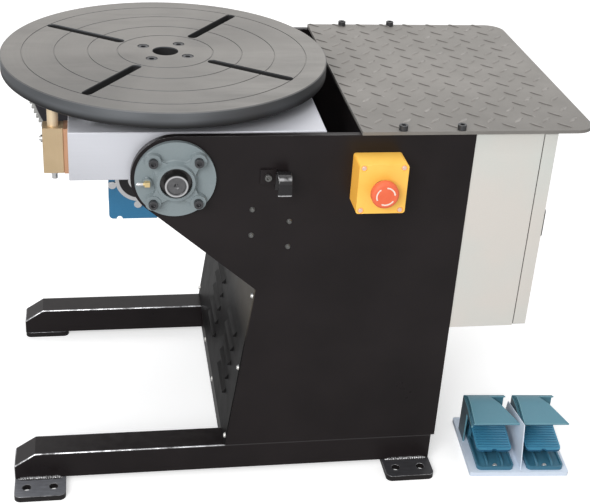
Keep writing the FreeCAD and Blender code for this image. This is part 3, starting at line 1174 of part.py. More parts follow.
def treadle(centre):
    """Treadle: ribbed plate, riser under the hood, pivot tube on a web, and a thumb notch in its front."""
    h = TREADLE_W / 2
    v0, v1 = TREADLE_FRONT, TREADLE_BEND
    top0 = PIVOT_W + 5.0
    top1 = top0 + TREADLE_RISE
    t = TREADLE_T
    profile = [(v0, top0 - t), (v0, top0), (v1, top1), (v1 + RISER_RUN, top1 + RISER_H),
               (v1 + RISER_RUN + t, top1 + RISER_H - 1), (v1 + t, top1 - t * 0.2), (v1 + t * 0.5, top1 - t)]
    plate = prism_x(profile, centre - h, centre + h)
    corners = [e for e in plate.Edges if abs(e.tangentAt(e.FirstParameter).z) > 0.99
               and abs(e.CenterOfMass.y - v0) < 0.1]
    plate = plate.makeFillet(TREADLE_R, corners)
    near = pedal_ear_sides(1)[0] - 0.5
    web = prism_x([(v1 - 2, top1 - t), (v1 + t, top1 - t + 1), (PIVOT_V + 5, PIVOT_W + 3),
                   (PIVOT_V, PIVOT_W - 6), (PIVOT_V - 6, PIVOT_W - 3)], centre - near + 4, centre + near - 4)
    pieces = [plate, web, rod(PIVOT_TUBE_D, (centre - near, PIVOT_V, PIVOT_W), (centre + near, PIVOT_V, PIVOT_W))]
    for n in range(RIB_COUNT):
        v = v1 - 4 - n * RIB_PITCH
        w = top0 + TREADLE_RISE * (v - v0) / (v1 - v0)
        rib = block(centre - h + 3, centre + h - 3, v - RIB_W / 2, v + RIB_W / 2, w - 1, w + RIB_H)
        pieces.append(rib)
    shape = fuse(pieces)
    cuts = [rod(PIVOT_D + 2 * RUN, (centre - h - 1, PIVOT_V, PIVOT_W), (centre + h + 1, PIVOT_V, PIVOT_W)),
            rod(10, (centre, v0 - 2, 0), (centre, v0 - 2, TRAY_H + HOOD_H))]
    return shape.cut(Part.makeCompound(cuts))


def pedal_pin(centre):
    reach = pedal_ear_sides(1)[1]
    return rod(PIVOT_D, (centre - reach, PIVOT_V, PIVOT_W), (centre + reach, PIVOT_V, PIVOT_W))


# ---------------------------------------------------------------- build: frame
plate_front = side_plate(Y_FRONT)
plate_back = side_plate(Y_IN_BACK)
hook_x, hook_z = hook_bolt_place()
plate_front = plate_front.cut(rod(M6_SHANK_D + 2 * FIT, (hook_x, Y_FRONT - 1, hook_z),
                                  (hook_x, Y_IN_FRONT + 1, hook_z)))
switch_seats = [(x, Y_FRONT, Z_AXIS + z + s * SWITCH_PITCH / 2) for x, z in SWITCHES for s in (-1, 1)]
for x, y, z in switch_seats:
    plate_front = plate_front.cut(rod(M5_SHANK_D + 2 * FIT, (x, y - 1, z), (x, y + PLATE_T + 1, z)))
panel = louvre_panel()
seats = panel_screw_seats()
for seat in seats:
    start, end = V(*seat) + panel_normal() * 3, V(*seat) - panel_normal() * 13
    panel = panel.cut(rod(M5_SHANK_D + CLEAR, start, end))
    plate_front = plate_front.cut(rod(M5_SHANK_D + 2 * FIT, start, end))
    plate_back = plate_back.cut(rod(M5_SHANK_D + 2 * FIT, start, end))
save("side_plate_front", plate_front)
save("side_plate_back", plate_back)
save("leg_tubes", leg(-1), leg(1))
save("cross_beams", cross_beam(TOE_X), cross_beam(LEG_END_X - BEAM_W))
save("foot_pads", *[foot_pad(x, side) for x in (LEG_TIP_X, LEG_END_X - PAD_L) for side in (-1, 1)])

save("louvre_panel", panel)

bay_wall = block(BAY_WALL_X, BAY_WALL_X + SHEET_T, Y_IN_FRONT, Y_IN_BACK, Z_PLATE_TOP - BAY_WALL_H, Z_PLATE_TOP)
rear_panel = block(PLATE_END_X - REAR_PANEL_T, PLATE_END_X, Y_IN_FRONT, Y_IN_BACK, Z_LEG_TOP, Z_PLATE_TOP)

cover = round_block(COVER_X0 - 60, COVER_X1, -FRAME_WIDTH / 2 - COVER_OVERHANG, FRAME_WIDTH / 2 + COVER_OVERHANG,
                    Z_PLATE_TOP, Z_PLATE_TOP + COVER_T, COVER_CORNER_R)
cover = cover.cut(block(COVER_X0 - 61, COVER_X0, -400, 400, Z_PLATE_TOP - 1, Z_PLATE_TOP + COVER_T + 1))
cover_seats = [(x, y, Z_PLATE_TOP + COVER_T) for x in COVER_BOLT_X
               for y in (Y_FRONT + PLATE_T / 2, Y_BACK - PLATE_T / 2)]
for x, y, z in cover_seats:
    cover = cover.cut(rod(M8_SHANK_D + CLEAR, (x, y, z - COVER_T - 1), (x, y, z + 1)))
save("tread_cover", cover)
cover_bolts = [cap_screw(M8_HEAD_D, M8_HEAD_H, M8_SHANK_D, COVER_T + 15, s, (0, 0, 1)) for s in cover_seats]

# ---------------------------------------------------------------- build: bearings on the tilt axis
housing = bearing_housing()
save("bearing_housings", housing, mirrored_y(housing))
save("bearing_outer_rings", outer_ring(), mirrored_y(outer_ring()))
bolt_seats = [(x, Y_FRONT - UNIT_H + 3, z) for x, z in unit_bolts()]
bolts = [cap_screw(M8_HEAD_D, M8_HEAD_H, M8_SHANK_D, UNIT_H - 3 + PLATE_T - 1, s, (0, -1, 0)) for s in bolt_seats]
save("m8_screws", *(cover_bolts + bolts + [mirrored_y(b) for b in bolts]))
save("grease_nipples", grease_nipple(), mirrored_y(grease_nipple()))
shaft_front = tilt_shaft(Y_BOX0 + BOX_WALL)
shaft_back = mirrored_y(tilt_shaft(-(Y_BOX1 - BOX_WALL)))
save("tilt_shafts", shaft_front, shaft_back)
save("bearing_inner_rings", inner_ring(), mirrored_y(inner_ring()))

# ---------------------------------------------------------------- build: tilting box, spindle and table
spacer = tube(120, 76, (0, Y_BOX1 - BOX_WALL, Z_AXIS), (0, Y_GEAR0, Z_AXIS))
for x, z in gear_bolts():
    spacer = spacer.cut(rod(M8_SHANK_D + CLEAR, (x, Y_BOX1 - BOX_WALL - 1, z), (x, Y_GEAR0 + 1, z)))
save("tilt_box", tilt_box().fuse(spacer))
save("spindle_housing", spindle_housing())
save("spindle_bearings", *spindle_bearings())
save("spindle", spindle())
save("table", table())
screw_seats = [(x, y, -SCREW_SINK_H) for x, y in table_screws()]
save("table_screws", *[cap_screw(M10_HEAD_D, M10_HEAD_H, M10_SHANK_D, TABLE_T - SCREW_SINK_H + 12, s, (0, 0, 1))
                       for s in screw_seats])
save("sector_gear", sector_gear())
save("gear_bolts", *[cap_screw(M8_HEAD_D, 5, M8_SHANK_D, GEAR_T + BOX_WALL, (x, Y_GEAR1, z), (0, 1, 0))
                     for x, z in gear_bolts()])
save("rotation_gearbox", rotation_gearbox())
save("first_stage_gearbox", first_stage_gearbox())
save("gearbox_cover", cover_ring())
save("output_seal", output_seal())
save("hollow_shaft", hollow_shaft())

motor_origin = V(STAGE2_REAR + MOTOR_CLEARANCE, (Y_STAGE1 + Y_STAGE1_FRONT) / 2, Z_STAGE - STAGE1_DIST)
rotation_motor = motor(MOTOR_L, MOTOR_D)
rotation_motor.rotate(V(0, 0, 0), V(1, 0, 0), 90)
rotation_motor.translate(motor_origin)
save("rotation_motor", rotation_motor)
cowl = fan_cowl(MOTOR_L, COWL_D)
cowl.translate(motor_origin)
save("rotation_fan_cowl", cowl)

brass, strip, contact, fittings = earth_parts()
save("earth_block", brass)
save("copper_strip", strip)
save("contact_rod", contact)
save("earth_fittings", *fittings)

# ---------------------------------------------------------------- build: tilt drive
save("tilt_pinion", pinion())
y1 = Y_GEAR0 - GEARBOX_GAP
y0 = y1 - TILT_BOX_T
z_worm = PINION_Z - TILT_DIST
z_shelf = z_worm - TILT_WORM_BELOW
x0, x1 = PINION_X - TILT_BOX_L / 2, PINION_X + TILT_BOX_L / 2
gearbox = round_block(x0, x1, y0, y1, z_shelf, PINION_Z + TILT_BOX_TOP, 12, "Y")
gearbox = gearbox.cut(rod(PINION_SHAFT_D + 2 * RUN, (PINION_X, y0 - 1, PINION_Z), (PINION_X, y1 + 1, PINION_Z)))
save("tilt_gearbox", gearbox)
tilt_motor = motor(MOTOR_L, MOTOR_D)
tilt_cowl = fan_cowl(MOTOR_L, COWL_D)
for shape in (tilt_motor, tilt_cowl):
    shape.translate(V(x1, (y0 + y1) / 2, z_worm))
save("tilt_motor", tilt_motor)
save("tilt_fan_cowl", tilt_cowl)
shelf = block(x0, x1, y0, Y_IN_BACK, z_shelf - SHELF_T, z_shelf)
save("inner_panels", bay_wall, rear_panel, shelf)

# ---------------------------------------------------------------- build: emergency stop and fittings
base, lid, lid_screws, collar, stem, head = estop_parts()
save("estop_box", base)
save("estop_lid", lid)
save("estop_collar", collar)
save("estop_stem", stem)
save("estop_head", head)
save("cable_hook", cable_hook())
save("limit_switches", *switch_bodies())
hook_bolt = cap_screw(M6_HEAD_D, M6_HEAD_H, M6_SHANK_D, HOOK_T + PLATE_T,
                      (hook_x, Y_FRONT - HOOK_T, hook_z), (0, -1, 0))
save("plate_screws", hook_bolt, *[pan_screw(s, (0, -1, 0), PLATE_T + 10) for s in switch_seats])

# ---------------------------------------------------------------- build: cabinet
save("cabinet_shell", *cabinet_shell())
save("cabinet_door", cabinet_door())
save("hinge_brackets", *hinge_brackets())
save("door_gasket", *door_gasket())
save("door_handle", door_handle())
back_plate, drives, control = cabinet_contents()
save("mounting_plate", back_plate)
save("motor_drives", *drives)
save("control_gear", *control)

# ---------------------------------------------------------------- build: foot pedals
save("pedal_tray", pedal_place(pedal_tray()))
save("pedal_bases", *[pedal_place(pedal_base(c)) for c in PEDAL_CENTRES])
save("pedal_hoods", *[pedal_place(pedal_hood(c)) for c in PEDAL_CENTRES])
save("pedal_pins", *[pedal_place(pedal_pin(c)) for c in PEDAL_CENTRES])
for side, centre in zip(("left", "right"), PEDAL_CENTRES):
    save("treadle_" + side, pedal_place(treadle(centre)))
pedal_seats = [pedal_screw_place(c) + (TRAY_H + PEDAL_FLOOR_T,) for c in PEDAL_CENTRES]
pedal_screws = [pedal_place(pan_screw(s, (0, 0, 1), PEDAL_FLOOR_T + TRAY_T)) for s in pedal_seats]
save("small_screws", *(lid_screws + [pan_screw(s, panel_normal(), 12.0) for s in seats] + pedal_screws))
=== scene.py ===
# %% [markdown]
# # A welding positioner, dressed piece by piece
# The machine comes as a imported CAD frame: every plate, gear and screw already has its true size and place.
# This lesson gives those pieces their finishes, eases their sharp edges, and adds what a drawing leaves out,
# such as the raised pattern of the tread plate. Everything is in metres, and Z = 0 is the face of the table.

# %% Load the frame and keep its box
import json
import math
import bmesh
import bpy
import numpy as np
from mathutils import Matrix, Vector


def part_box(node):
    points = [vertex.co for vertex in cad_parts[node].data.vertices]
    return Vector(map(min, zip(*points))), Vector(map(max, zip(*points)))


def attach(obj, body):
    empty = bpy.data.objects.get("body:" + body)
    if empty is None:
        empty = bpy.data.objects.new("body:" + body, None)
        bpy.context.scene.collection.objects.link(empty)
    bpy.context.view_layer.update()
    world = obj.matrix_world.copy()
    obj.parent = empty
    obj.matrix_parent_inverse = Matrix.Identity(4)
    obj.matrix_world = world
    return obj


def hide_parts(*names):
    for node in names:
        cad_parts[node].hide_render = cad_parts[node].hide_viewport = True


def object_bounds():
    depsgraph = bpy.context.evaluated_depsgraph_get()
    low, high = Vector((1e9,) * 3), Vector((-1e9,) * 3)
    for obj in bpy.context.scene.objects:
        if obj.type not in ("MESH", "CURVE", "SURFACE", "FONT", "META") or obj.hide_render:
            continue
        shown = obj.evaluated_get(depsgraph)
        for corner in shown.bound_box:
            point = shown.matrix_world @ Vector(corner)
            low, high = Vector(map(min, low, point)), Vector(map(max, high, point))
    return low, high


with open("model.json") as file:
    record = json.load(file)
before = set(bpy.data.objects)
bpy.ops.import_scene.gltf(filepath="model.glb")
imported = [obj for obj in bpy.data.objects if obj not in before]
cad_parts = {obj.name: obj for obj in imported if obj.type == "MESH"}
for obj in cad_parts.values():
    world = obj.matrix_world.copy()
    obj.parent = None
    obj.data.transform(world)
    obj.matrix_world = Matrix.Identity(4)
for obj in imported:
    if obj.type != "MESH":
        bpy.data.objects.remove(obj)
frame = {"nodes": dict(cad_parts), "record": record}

CAD_BOX = [list(corner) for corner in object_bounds()]
BODY_OF = {node: body for body, nodes in frame["record"]["behaviour"]["bodies"].items() for node in nodes}
MM = 0.001
print("pieces in the frame:", len(frame["nodes"]), "box:", CAD_BOX)

# %% [markdown]
# ## Camera
# A long lens about two metres away looks down on the machine from its front left. Sensor width and lens
# together set the field of view, so the lens is worked out from the focal length counted in image widths.
# A small shift moves the view sideways without turning the camera, as a view camera does.

# %% Camera
FOCAL_WIDTHS = 2.00593
EYE = Vector((-0.1094, -1.7555, 0.6207))
YAW, PITCH, ROLL = (math.radians(a) for a in (10.46, 28.79, 3.64))
SHIFT = (0.00942, -0.00110)


def aim(yaw, pitch, roll):
    """Rotation matrix of a camera turned right by yaw, down by pitch, and rolled about its own line of sight."""
    ahead = Vector((math.sin(yaw) * math.cos(pitch), math.cos(yaw) * math.cos(pitch), -math.sin(pitch)))
    right = ahead.cross(Vector((0, 0, 1))).normalized()
    up = right.cross(ahead)
    right, up = math.cos(roll) * right + math.sin(roll) * up, -math.sin(roll) * right + math.cos(roll) * up
    return Matrix((right, up, -ahead)).transposed()


lens = bpy.data.cameras.new("camera")
lens.sensor_width = 36.0
lens.lens = FOCAL_WIDTHS * lens.sensor_width
lens.shift_x, lens.shift_y = SHIFT
camera = bpy.data.objects.new("camera", lens)
camera.matrix_world = Matrix.Translation(EYE) @ aim(YAW, PITCH, ROLL).to_4x4()
bpy.context.scene.collection.objects.link(camera)
bpy.context.scene.camera = camera
bpy.context.scene.view_settings.view_transform = "Standard"
print("lens", round(lens.lens, 2), "mm")

# %% [markdown]
# ## Shader maths as Python
# A node tree is easier to read as an expression. `Wire` wraps one output socket and turns `+ - * / **` into
# Math nodes, and `Finish` is a material that makes any other node with one method.

# %% Wires and finishes


class Wire:
    """One shader output. Arithmetic on it adds Math nodes; numbers may stand on either side."""

    def __init__(self, finish, socket):
        self.finish = finish
        self.socket = socket

    def math(self, operation, *values):
        return self.finish.node("ShaderNodeMath", {"operation": operation}, dict(enumerate(values)))

    def __add__(self, other):
        return self.math("ADD", self, other)

    def __radd__(self, other):
        return self.math("ADD", other, self)

    def __sub__(self, other):
        return self.math("SUBTRACT", self, other)

    def __rsub__(self, other):
        return self.math("SUBTRACT", other, self)

    def __mul__(self, other):
        return self.math("MULTIPLY", self, other)

    def __rmul__(self, other):
        return self.math("MULTIPLY", other, self)

    def __truediv__(self, other):
        return self.math("DIVIDE", self, other)

    def __pow__(self, other):
        return self.math("POWER", self, other)

    def between(self, low, high):
        """0 below low, 1 above high, and a straight ramp in between."""
        return self.finish.node("ShaderNodeMapRange", {"clamp": True},
                                {"Value": self, "From Min": low, "From Max": high})


class Finish:
    """A material whose nodes are made through one method, with its Principled shader already in place."""

    def __init__(self, name):
        self.material = bpy.data.materials.new(name)
        self.material.use_nodes = True
        self.tree = self.material.node_tree
        self.shader = self.tree.nodes["Principled BSDF"]

    def node(self, kind, settings=None, sockets=None, output=0):
        """Adds a node of this kind: settings are set first, then each socket is linked or filled."""
        made = self.tree.nodes.new(kind)
        for key, value in (settings or {}).items():
            setattr(made, key, value)
        for key, value in (sockets or {}).items():
            self.plug(made.inputs[key], value)
        return Wire(self, made.outputs[output])

    def plug(self, socket, value):
        if isinstance(value, Wire):
            self.tree.links.new(value.socket, socket)
        elif isinstance(value, (tuple, list)) and len(value) == 3 and socket.type == "RGBA":
            socket.default_value = (*value, 1.0)
        else:
            socket.default_value = value

    def place(self):
        """Position in the object's own metres."""
        return self.node("ShaderNodeTexCoord", output=3)

    def axes(self):
        """The three coordinates as separate wires."""
        split = self.tree.nodes.new("ShaderNodeSeparateXYZ")
        self.tree.links.new(self.place().socket, split.inputs[0])
        return [Wire(self, out) for out in split.outputs]

    def facing(self):
        """The direction a face looks in, as three wires: to the rear, away from the operator, and up."""
        tip = self.tree.nodes.new("ShaderNodeSeparateXYZ")
        self.tree.links.new(self.node("ShaderNodeTexCoord", output=1).socket, tip.inputs[0])
        return [Wire(self, out) for out in tip.outputs]

    def upward(self):
        """How far a face looks up: 1 for a level top, 0 for a wall, -1 for an underside."""
        return self.facing()[2]

    def stretched(self, x=1.0, y=1.0, z=1.0):
        """Coordinates multiplied by these factors, which draws a pattern out along the smallest one."""
        return self.node("ShaderNodeMapping", {}, {"Vector": self.place(), "Scale": (x, y, z)})

    def noise(self, scale, detail=3.0, rough=0.5, where=None):
        return self.node("ShaderNodeTexNoise", {}, {"Vector": where or self.place(), "Scale": scale,
                                                    "Detail": detail, "Roughness": rough})

    def specks(self, scale, size):
        """Small round dots scattered at this many to the metre: 1 in a dot, 0 outside it."""
        cells = self.node("ShaderNodeTexVoronoi", {"feature": "F1"}, {"Vector": self.place(), "Scale": scale})
        return 1.0 - cells.between(size * 0.6, size)

    def mix(self, amount, low, high):
        return self.node("ShaderNodeMix", {"data_type": "RGBA"}, {0: amount, 6: low, 7: high}, output=2)

    def bump(self, height, depth, strength=1.0):
        """Normals tilted by a height that is depth metres from lowest to highest."""
        return self.node("ShaderNodeBump", {}, {"Height": height, "Distance": depth, "Strength": strength})

    def coat(self, **sockets):
        """Fills the Principled shader: base_color=..., roughness=..., normal=..., and returns the material."""
        names = {"base_color": "Base Color", "roughness": "Roughness", "metallic": "Metallic", "normal": "Normal",
                 "gloss": "Specular IOR Level", "lacquer": "Coat Weight", "lacquer_roughness": "Coat Roughness",
                 "fuzz": "Sheen Weight", "glow": "Emission Color"}
        for key, value in sockets.items():
            self.plug(self.shader.inputs[names[key]], value)
        return self.material


# %% [markdown]
# ## Finishes of the frame
# The plates and legs are sprayed gloss black. Sprayed paint is never a mirror: it has a low orange-peel wave,
# and workshop dust settles on the faces that look up. Both come from noise on the object's own coordinates.

# %% Black gloss paint


def black_paint():
    f = Finish("black_gloss_paint")
    peel = f.noise(260.0, 2.0)
    cloud = f.noise(9.0, 4.0)
    dust_and_reflection = f.upward().between(0.5, 0.95) * f.noise(60.0, 5.0, 0.65).between(0.42, 0.75) * 0.55
    flecks = f.specks(95.0, 0.055) * cloud.between(0.45, 0.6)
    paint = f.mix(cloud.between(0.3, 0.7), (0.0115, 0.0090, 0.0095), (0.0165, 0.0130, 0.0136))
    dusty = f.mix(dust_and_reflection * 0.08 + flecks * 0.08, paint, (0.20, 0.19, 0.18))
    return f.coat(base_color=dusty, roughness=0.24 + cloud * 0.12 + dust_and_reflection * 0.25, gloss=0.2,
                  normal=f.bump(peel, 0.00012, 0.3))


# %% [markdown]
# Every edge that looks up shows a broken bright line: a painted highlight, made as pale bare metal on the bevel.
# The tops of the foot pads are painted lighter grey as a painted reflection broken up by scuffs, and the thick,
# shiny paint on the weld beads carries painted glints. Each of these is its own small finish, so that the wide
# faces stay plain.

# %% Black paint on arrises, pads and welds


def arris_highlight_paint():
    f = Finish("black_paint_arris_highlight")
    x, _, z = f.axes()
    welded = x.between(0.080, 0.086) * z.between(-0.600, -0.598) * (1.0 - z.between(-0.570, -0.568))
    # painted highlight: a pale metallic line on bevels that look up, left out where the side plate stands on the
    # leg
    bright_marks = f.upward().between(0.10, 0.40) * f.noise(38.0, 4.0, 0.7).between(0.34, 0.56) * (1.0 - welded)
    return f.coat(base_color=f.mix(bright_marks, (0.020, 0.0175, 0.018), (0.66, 0.66, 0.68)), metallic=bright_marks * 0.7,
                  roughness=0.22, gloss=0.4, normal=f.bump(f.noise(260.0, 2.0), 0.00012, 0.3))


def pad_paint():
    f = Finish("pad_paint_scuffs_and_reflection")
    x, _, _ = f.axes()
    scuff = f.noise(1.0, 5.0, 0.65, f.stretched(60.0, 240.0, 60.0))
    # painted reflection: pad tops are painted light grey, most on the left pads, and broken up by scuffs
    top = f.upward().between(0.80, 0.98) * (1.0 - x.between(-0.10, 0.30) * 0.75)
    colour = f.mix(top * (0.35 + scuff * 0.9), (0.0125, 0.0105, 0.0110), (0.190, 0.196, 0.216))
    return f.coat(base_color=colour, roughness=0.26 + scuff * 0.1, gloss=0.35, normal=f.bump(scuff, 0.00008, 0.4))


def panel_paint():
    """Matt black, with a brownish painted reflection over the upper part of the leaning panel."""
    f = Finish("panel_paint_with_reflection")
    _, _, z = f.axes()
    dust_and_reflection = f.noise(30.0, 5.0, 0.65)
    # painted reflection: the upper part is lightened to a brownish grey, broken up by noise
    amount = z.between(-0.390, -0.330) * (0.40 + dust_and_reflection * 0.70)
    colour = f.mix(amount, (0.0075, 0.0070, 0.0072), (0.090, 0.080, 0.066))
    return f.coat(base_color=colour, roughness=0.34 + dust_and_reflection * 0.2, gloss=0.12,
                  normal=f.bump(f.noise(260.0, 2.0), 0.0001, 0.3))


def strap_paint():
    """Thick gloss enamel on the bent strap, with a painted highlight band where it turns over and a painted
    highlight along its lip.
    """
    f = Finish("strap_enamel")
    _, y, z = f.axes()
    up = f.upward()
    # painted highlights: a pale band over the bend and along the lower lip, broken up by noise
    turn = up.between(0.52, 0.66) * (1.0 - up.between(0.72, 0.84))
    lip = (1.0 - y.between(-0.2640, -0.2635)) * (1.0 - z.between(-0.1185, -0.1168))
    bright_marks = (turn * 0.7 + lip) * f.noise(70.0, 3.0).between(0.30, 0.46)
    return f.coat(base_color=f.mix(bright_marks, (0.018, 0.017, 0.018), (0.62, 0.62, 0.63)), metallic=bright_marks * 0.6,
                  roughness=0.16, gloss=0.35, normal=f.bump(f.noise(260.0, 2.0), 0.0001, 0.3))


def weld_paint():
    f = Finish("painted_weld")
    lump = f.noise(420.0, 3.0)
    # painted glints: pale metallic specks on the upward slopes of the bead
    glint = f.upward().between(0.30, 0.70) * lump.between(0.40, 0.54)
    return f.coat(base_color=f.mix(glint, (0.016, 0.014, 0.0145), (0.55, 0.55, 0.56)), metallic=glint * 0.6,
                  roughness=0.16, gloss=0.6, normal=f.bump(lump, 0.0005, 0.6))


# %% [markdown]
# The cover is tread plate left as it came from the mill: grey with a mottled oxide film, fine grain, and small
# bright spots where boots have rubbed it. Two noises of very different size are mixed, because one alone would
# look like cloud.

# %% Tread plate steel


def tread_steel():
    f = Finish("tread_plate_grey")
    film = f.noise(14.0, 6.0, 0.6)
    grain = f.noise(900.0, 2.0)
    spots = f.specks(120.0, 0.07) * f.noise(30.0, 2.0).between(0.5, 0.62)
    # painted shade: the plate is painted darker towards its front edge
    near_edge_shade = (0.0 - f.axes()[1]).between(0.05, 0.24) * 0.35
    grey = f.mix(film.between(0.3, 0.7), (0.235, 0.222, 0.206), (0.305, 0.288, 0.270))
    grey = f.mix(near_edge_shade, grey, (0.150, 0.142, 0.132))
    bright_marks = f.mix(spots * 0.45, grey, (0.60, 0.59, 0.57))
    return f.coat(base_color=bright_marks, roughness=0.48 + film * 0.12, metallic=0.15, gloss=0.4,
                  normal=f.bump(grain, 0.00008, 0.5))


def lozenge_steel():
    """Tread steel of the raised lozenges, with painted shade on the flanks turned towards -X and -Y and a little
    on every flank, and painted glints on the flanks turned towards +X and -Y.
    """
    f = Finish("tread_lozenge_steel")
    to_rear, away, up = f.facing()
    flank = 1.0 - up.between(0.72, 0.95)
    # painted shade on the flanks turned towards -X and -Y
    front_left_shade = (0.0 - to_rear - away).between(0.40, 0.85)
    # painted glints on the flanks turned towards +X and -Y
    painted_glint = (to_rear - away).between(0.20, 0.55) * f.noise(52.0, 2.0).between(0.50, 0.66)
    film = f.noise(14.0, 6.0, 0.6)
    grey = f.mix(film.between(0.3, 0.7), (0.240, 0.226, 0.210), (0.310, 0.293, 0.275))
    dark = f.mix(front_left_shade * 0.75 + flank * 0.05, grey, (0.075, 0.069, 0.064))
    colour = f.mix(painted_glint * 0.40, dark, (0.60, 0.58, 0.56))
    return f.coat(base_color=colour, roughness=0.42 + film * 0.12, metallic=0.2, gloss=0.4,
                  normal=f.bump(f.noise(900.0, 2.0), 0.00008, 0.5))


# %% [markdown]
# ## Finishes of the table and the tilting box
# The table was faced on a lathe and blackened, so its marks are circles about its own axis. Distance from the
# axis, stretched far more than the angle, turns a noise into fine concentric rings. Over the marks lie painted
# reflections: dark streaks behind the bore, a dark fan through the centre and a pale patch to the right, and the
# face is painted darker towards the front as shade. The rim carries a painted reflection in level bands and
# painted shade towards its right end, and its lower arris is painted nearly black as shade. Anything well below
# the face, in the slots and the bore, is painted dark as shade.

# %% Turned, blackened table


def turned_table():
    f = Finish("turned_table_steel")
    x, y, z = f.axes()
    radius = (x * x + y * y) ** 0.5
    rings = f.node("ShaderNodeCombineXYZ", {}, {0: radius * 900.0, 1: z * 900.0, 2: x * 2.0})
    marks = f.noise(1.0, 3.0, 0.7, rings)
    broad = f.noise(1.0, 2.0, 0.5, f.node("ShaderNodeCombineXYZ", {}, {0: radius * 60.0, 1: z * 40.0, 2: y * 3.0}))
    stain = f.noise(7.0, 5.0, 0.6)
    streak_noise = f.noise(1.0, 5.0, 0.65, f.stretched(5.0, 26.0, 1.0))
    # painted reflection: dark streaks behind the bore
    rear = (y - 0.35 * x).between(0.03, 0.16) * (1.0 - (y - 0.35 * x).between(0.19, 0.25))
    rear_streak_reflection = streak_noise.between(0.50, 0.68) * rear
    # painted shade: the face darkens towards the front; the film below mixes it with real stains
    front_shade = (0.0 - y).between(-0.02, 0.24) * 0.62
    face = f.mix(marks * 0.5 + broad * 0.5, (0.222, 0.211, 0.197), (0.322, 0.306, 0.288))
    film = f.mix(stain.between(0.35, 0.7) * 0.35 + front_shade, face, (0.150, 0.146, 0.140))
    face_marks_and_reflections = f.mix(rear_streak_reflection * 0.30, film, (0.105, 0.100, 0.096))
    # painted reflection: a dark fan through the centre, as a turned face reflects
    along = (x * math.cos(math.radians(35)) + y * math.sin(math.radians(35))) / (radius + 0.001)
    fan_reflection = (along * along).between(0.62, 0.98) * radius.between(0.030, 0.060)
    fan_reflection = fan_reflection * (0.35 + 0.65 * streak_noise.between(0.35, 0.62)) * (1.0 - 0.5 * radius.between(0.17, 0.24))
    face_marks_and_reflections = f.mix(fan_reflection * 0.50, face_marks_and_reflections, (0.098, 0.094, 0.090))
    # painted reflection: a pale patch to the right of the centre
    pale = (x - 0.5 * y).between(0.02, 0.20) * streak_noise.between(0.30, 0.60)
    face_marks_and_reflections = f.mix(pale * 0.35, face_marks_and_reflections, (0.40, 0.384, 0.362))
    # painted reflection on the rim, in level bands
    sheen = f.noise(1.0, 1.0, 0.5, f.node("ShaderNodeCombineXYZ", {}, {0: x * 7.0, 1: y * 3.0, 2: z * 30.0}))
    rim_reflection = f.mix(sheen.between(0.32, 0.66) * 0.75 + marks * 0.25, (0.060, 0.064, 0.070), (0.180, 0.190, 0.202))
    # painted shade: the rim darkens towards its right end
    right = f.mix(x.between(0.00, 0.18) * 0.75, rim_reflection, (0.036, 0.036, 0.038))
    # painted shade: the rim's lower arris is painted nearly black
    low = 1.0 - z.between(-0.0205, -0.0125)
    edge = f.mix(low, right, (0.012, 0.012, 0.013))
    up = f.upward()
    shell = f.mix(up.between(0.6, 0.9), edge, face_marks_and_reflections)
    # painted shade: everything well below the face, in the slots and the bore, is painted near black
    inside = (1.0 - radius.between(0.2415, 0.2425)) * (1.0 - z.between(-0.0024, -0.0012))
    colour = f.mix(inside, shell, (0.0085, 0.0080, 0.0085))
    return f.coat(base_color=colour, roughness=0.42 + broad * 0.15 + inside * 0.3,
                  metallic=0.45 - inside * 0.45, normal=f.bump(marks, 0.00005, 0.45))


# %% [markdown]
# The box under the table is bright steel, ground along its length, so its scratches run along X. A noise
# squeezed a hundred times more across than along gives such scratches.

# %% Milled box


def milled_steel():
    f = Finish("milled_steel")
    scratches = f.noise(1.0, 4.0, 0.65, f.stretched(12.0, 700.0, 1400.0))
    cloud = f.noise(6.0, 3.0)
    bright = f.mix(scratches * 0.5 + cloud * 0.5, (0.60, 0.61, 0.655), (0.74, 0.75, 0.80))
    return f.coat(base_color=bright, roughness=0.38 + scratches * 0.12, metallic=0.35,
                  normal=f.bump(scratches, 0.00003, 0.4))


# %% [markdown]
# Small turned parts are bare steel too, but their scratches run no particular way. One function makes the
# whole family, from bright pins to blackened screws, so that they differ only in how dark and rough they are.

# %% Bright turned steel


def bright_steel(name, dark, light, roughness=0.26, metallic=0.95):
    """Bare machined steel between two greys, with fine scratches that run no particular way."""
    f = Finish(name)
    grain = f.noise(1100.0, 3.0, 0.6)
    cloud = f.noise(40.0, 3.0)
    colour = f.mix(grain * 0.4 + cloud * 0.6, dark, light)
    return f.coat(base_color=colour, roughness=roughness + cloud * 0.14, metallic=metallic,
                  normal=f.bump(grain, 0.00003, 0.4))


# %% [markdown]
# The small screws are zinc plated. The four in the yellow lid were passivated to a warm, pinkish tone, so the
# finish looks at where on the machine a screw sits.

# %% Small screws


def small_screw_zinc():
    f = Finish("zinc_plated_screws")
    x, y, z = f.axes()
    grain = f.noise(1100.0, 3.0, 0.6)
    cloud = f.noise(40.0, 3.0)
    zinc = f.mix(grain * 0.4 + cloud * 0.6, (0.66, 0.65, 0.63), (0.86, 0.85, 0.82))
    warm = f.mix(cloud, (0.80, 0.56, 0.44), (0.92, 0.72, 0.60))
    lid = z.between(-0.200, -0.190) * (1.0 - y.between(-0.250, -0.245))
    return f.coat(base_color=f.mix(lid, zinc, warm), roughness=0.28 + cloud * 0.14, metallic=0.8 - lid * 0.5,
                  normal=f.bump(grain, 0.00003, 0.4))


# %% [markdown]
# Two finishes depend on how far a point lies from the tilting shaft's own axis. The shaft's end is dull in the
# middle with a bright ground band round it, and the bearing round that is dark with oil. The sector gear is
# oiled black, and only its cut teeth are bare.

# %% Shaft end, bearing and sector gear
TILT_Z = next(joint["pos_m"][2] for joint in frame["record"]["behaviour"]["joints"] if joint["name"] == "tilt")


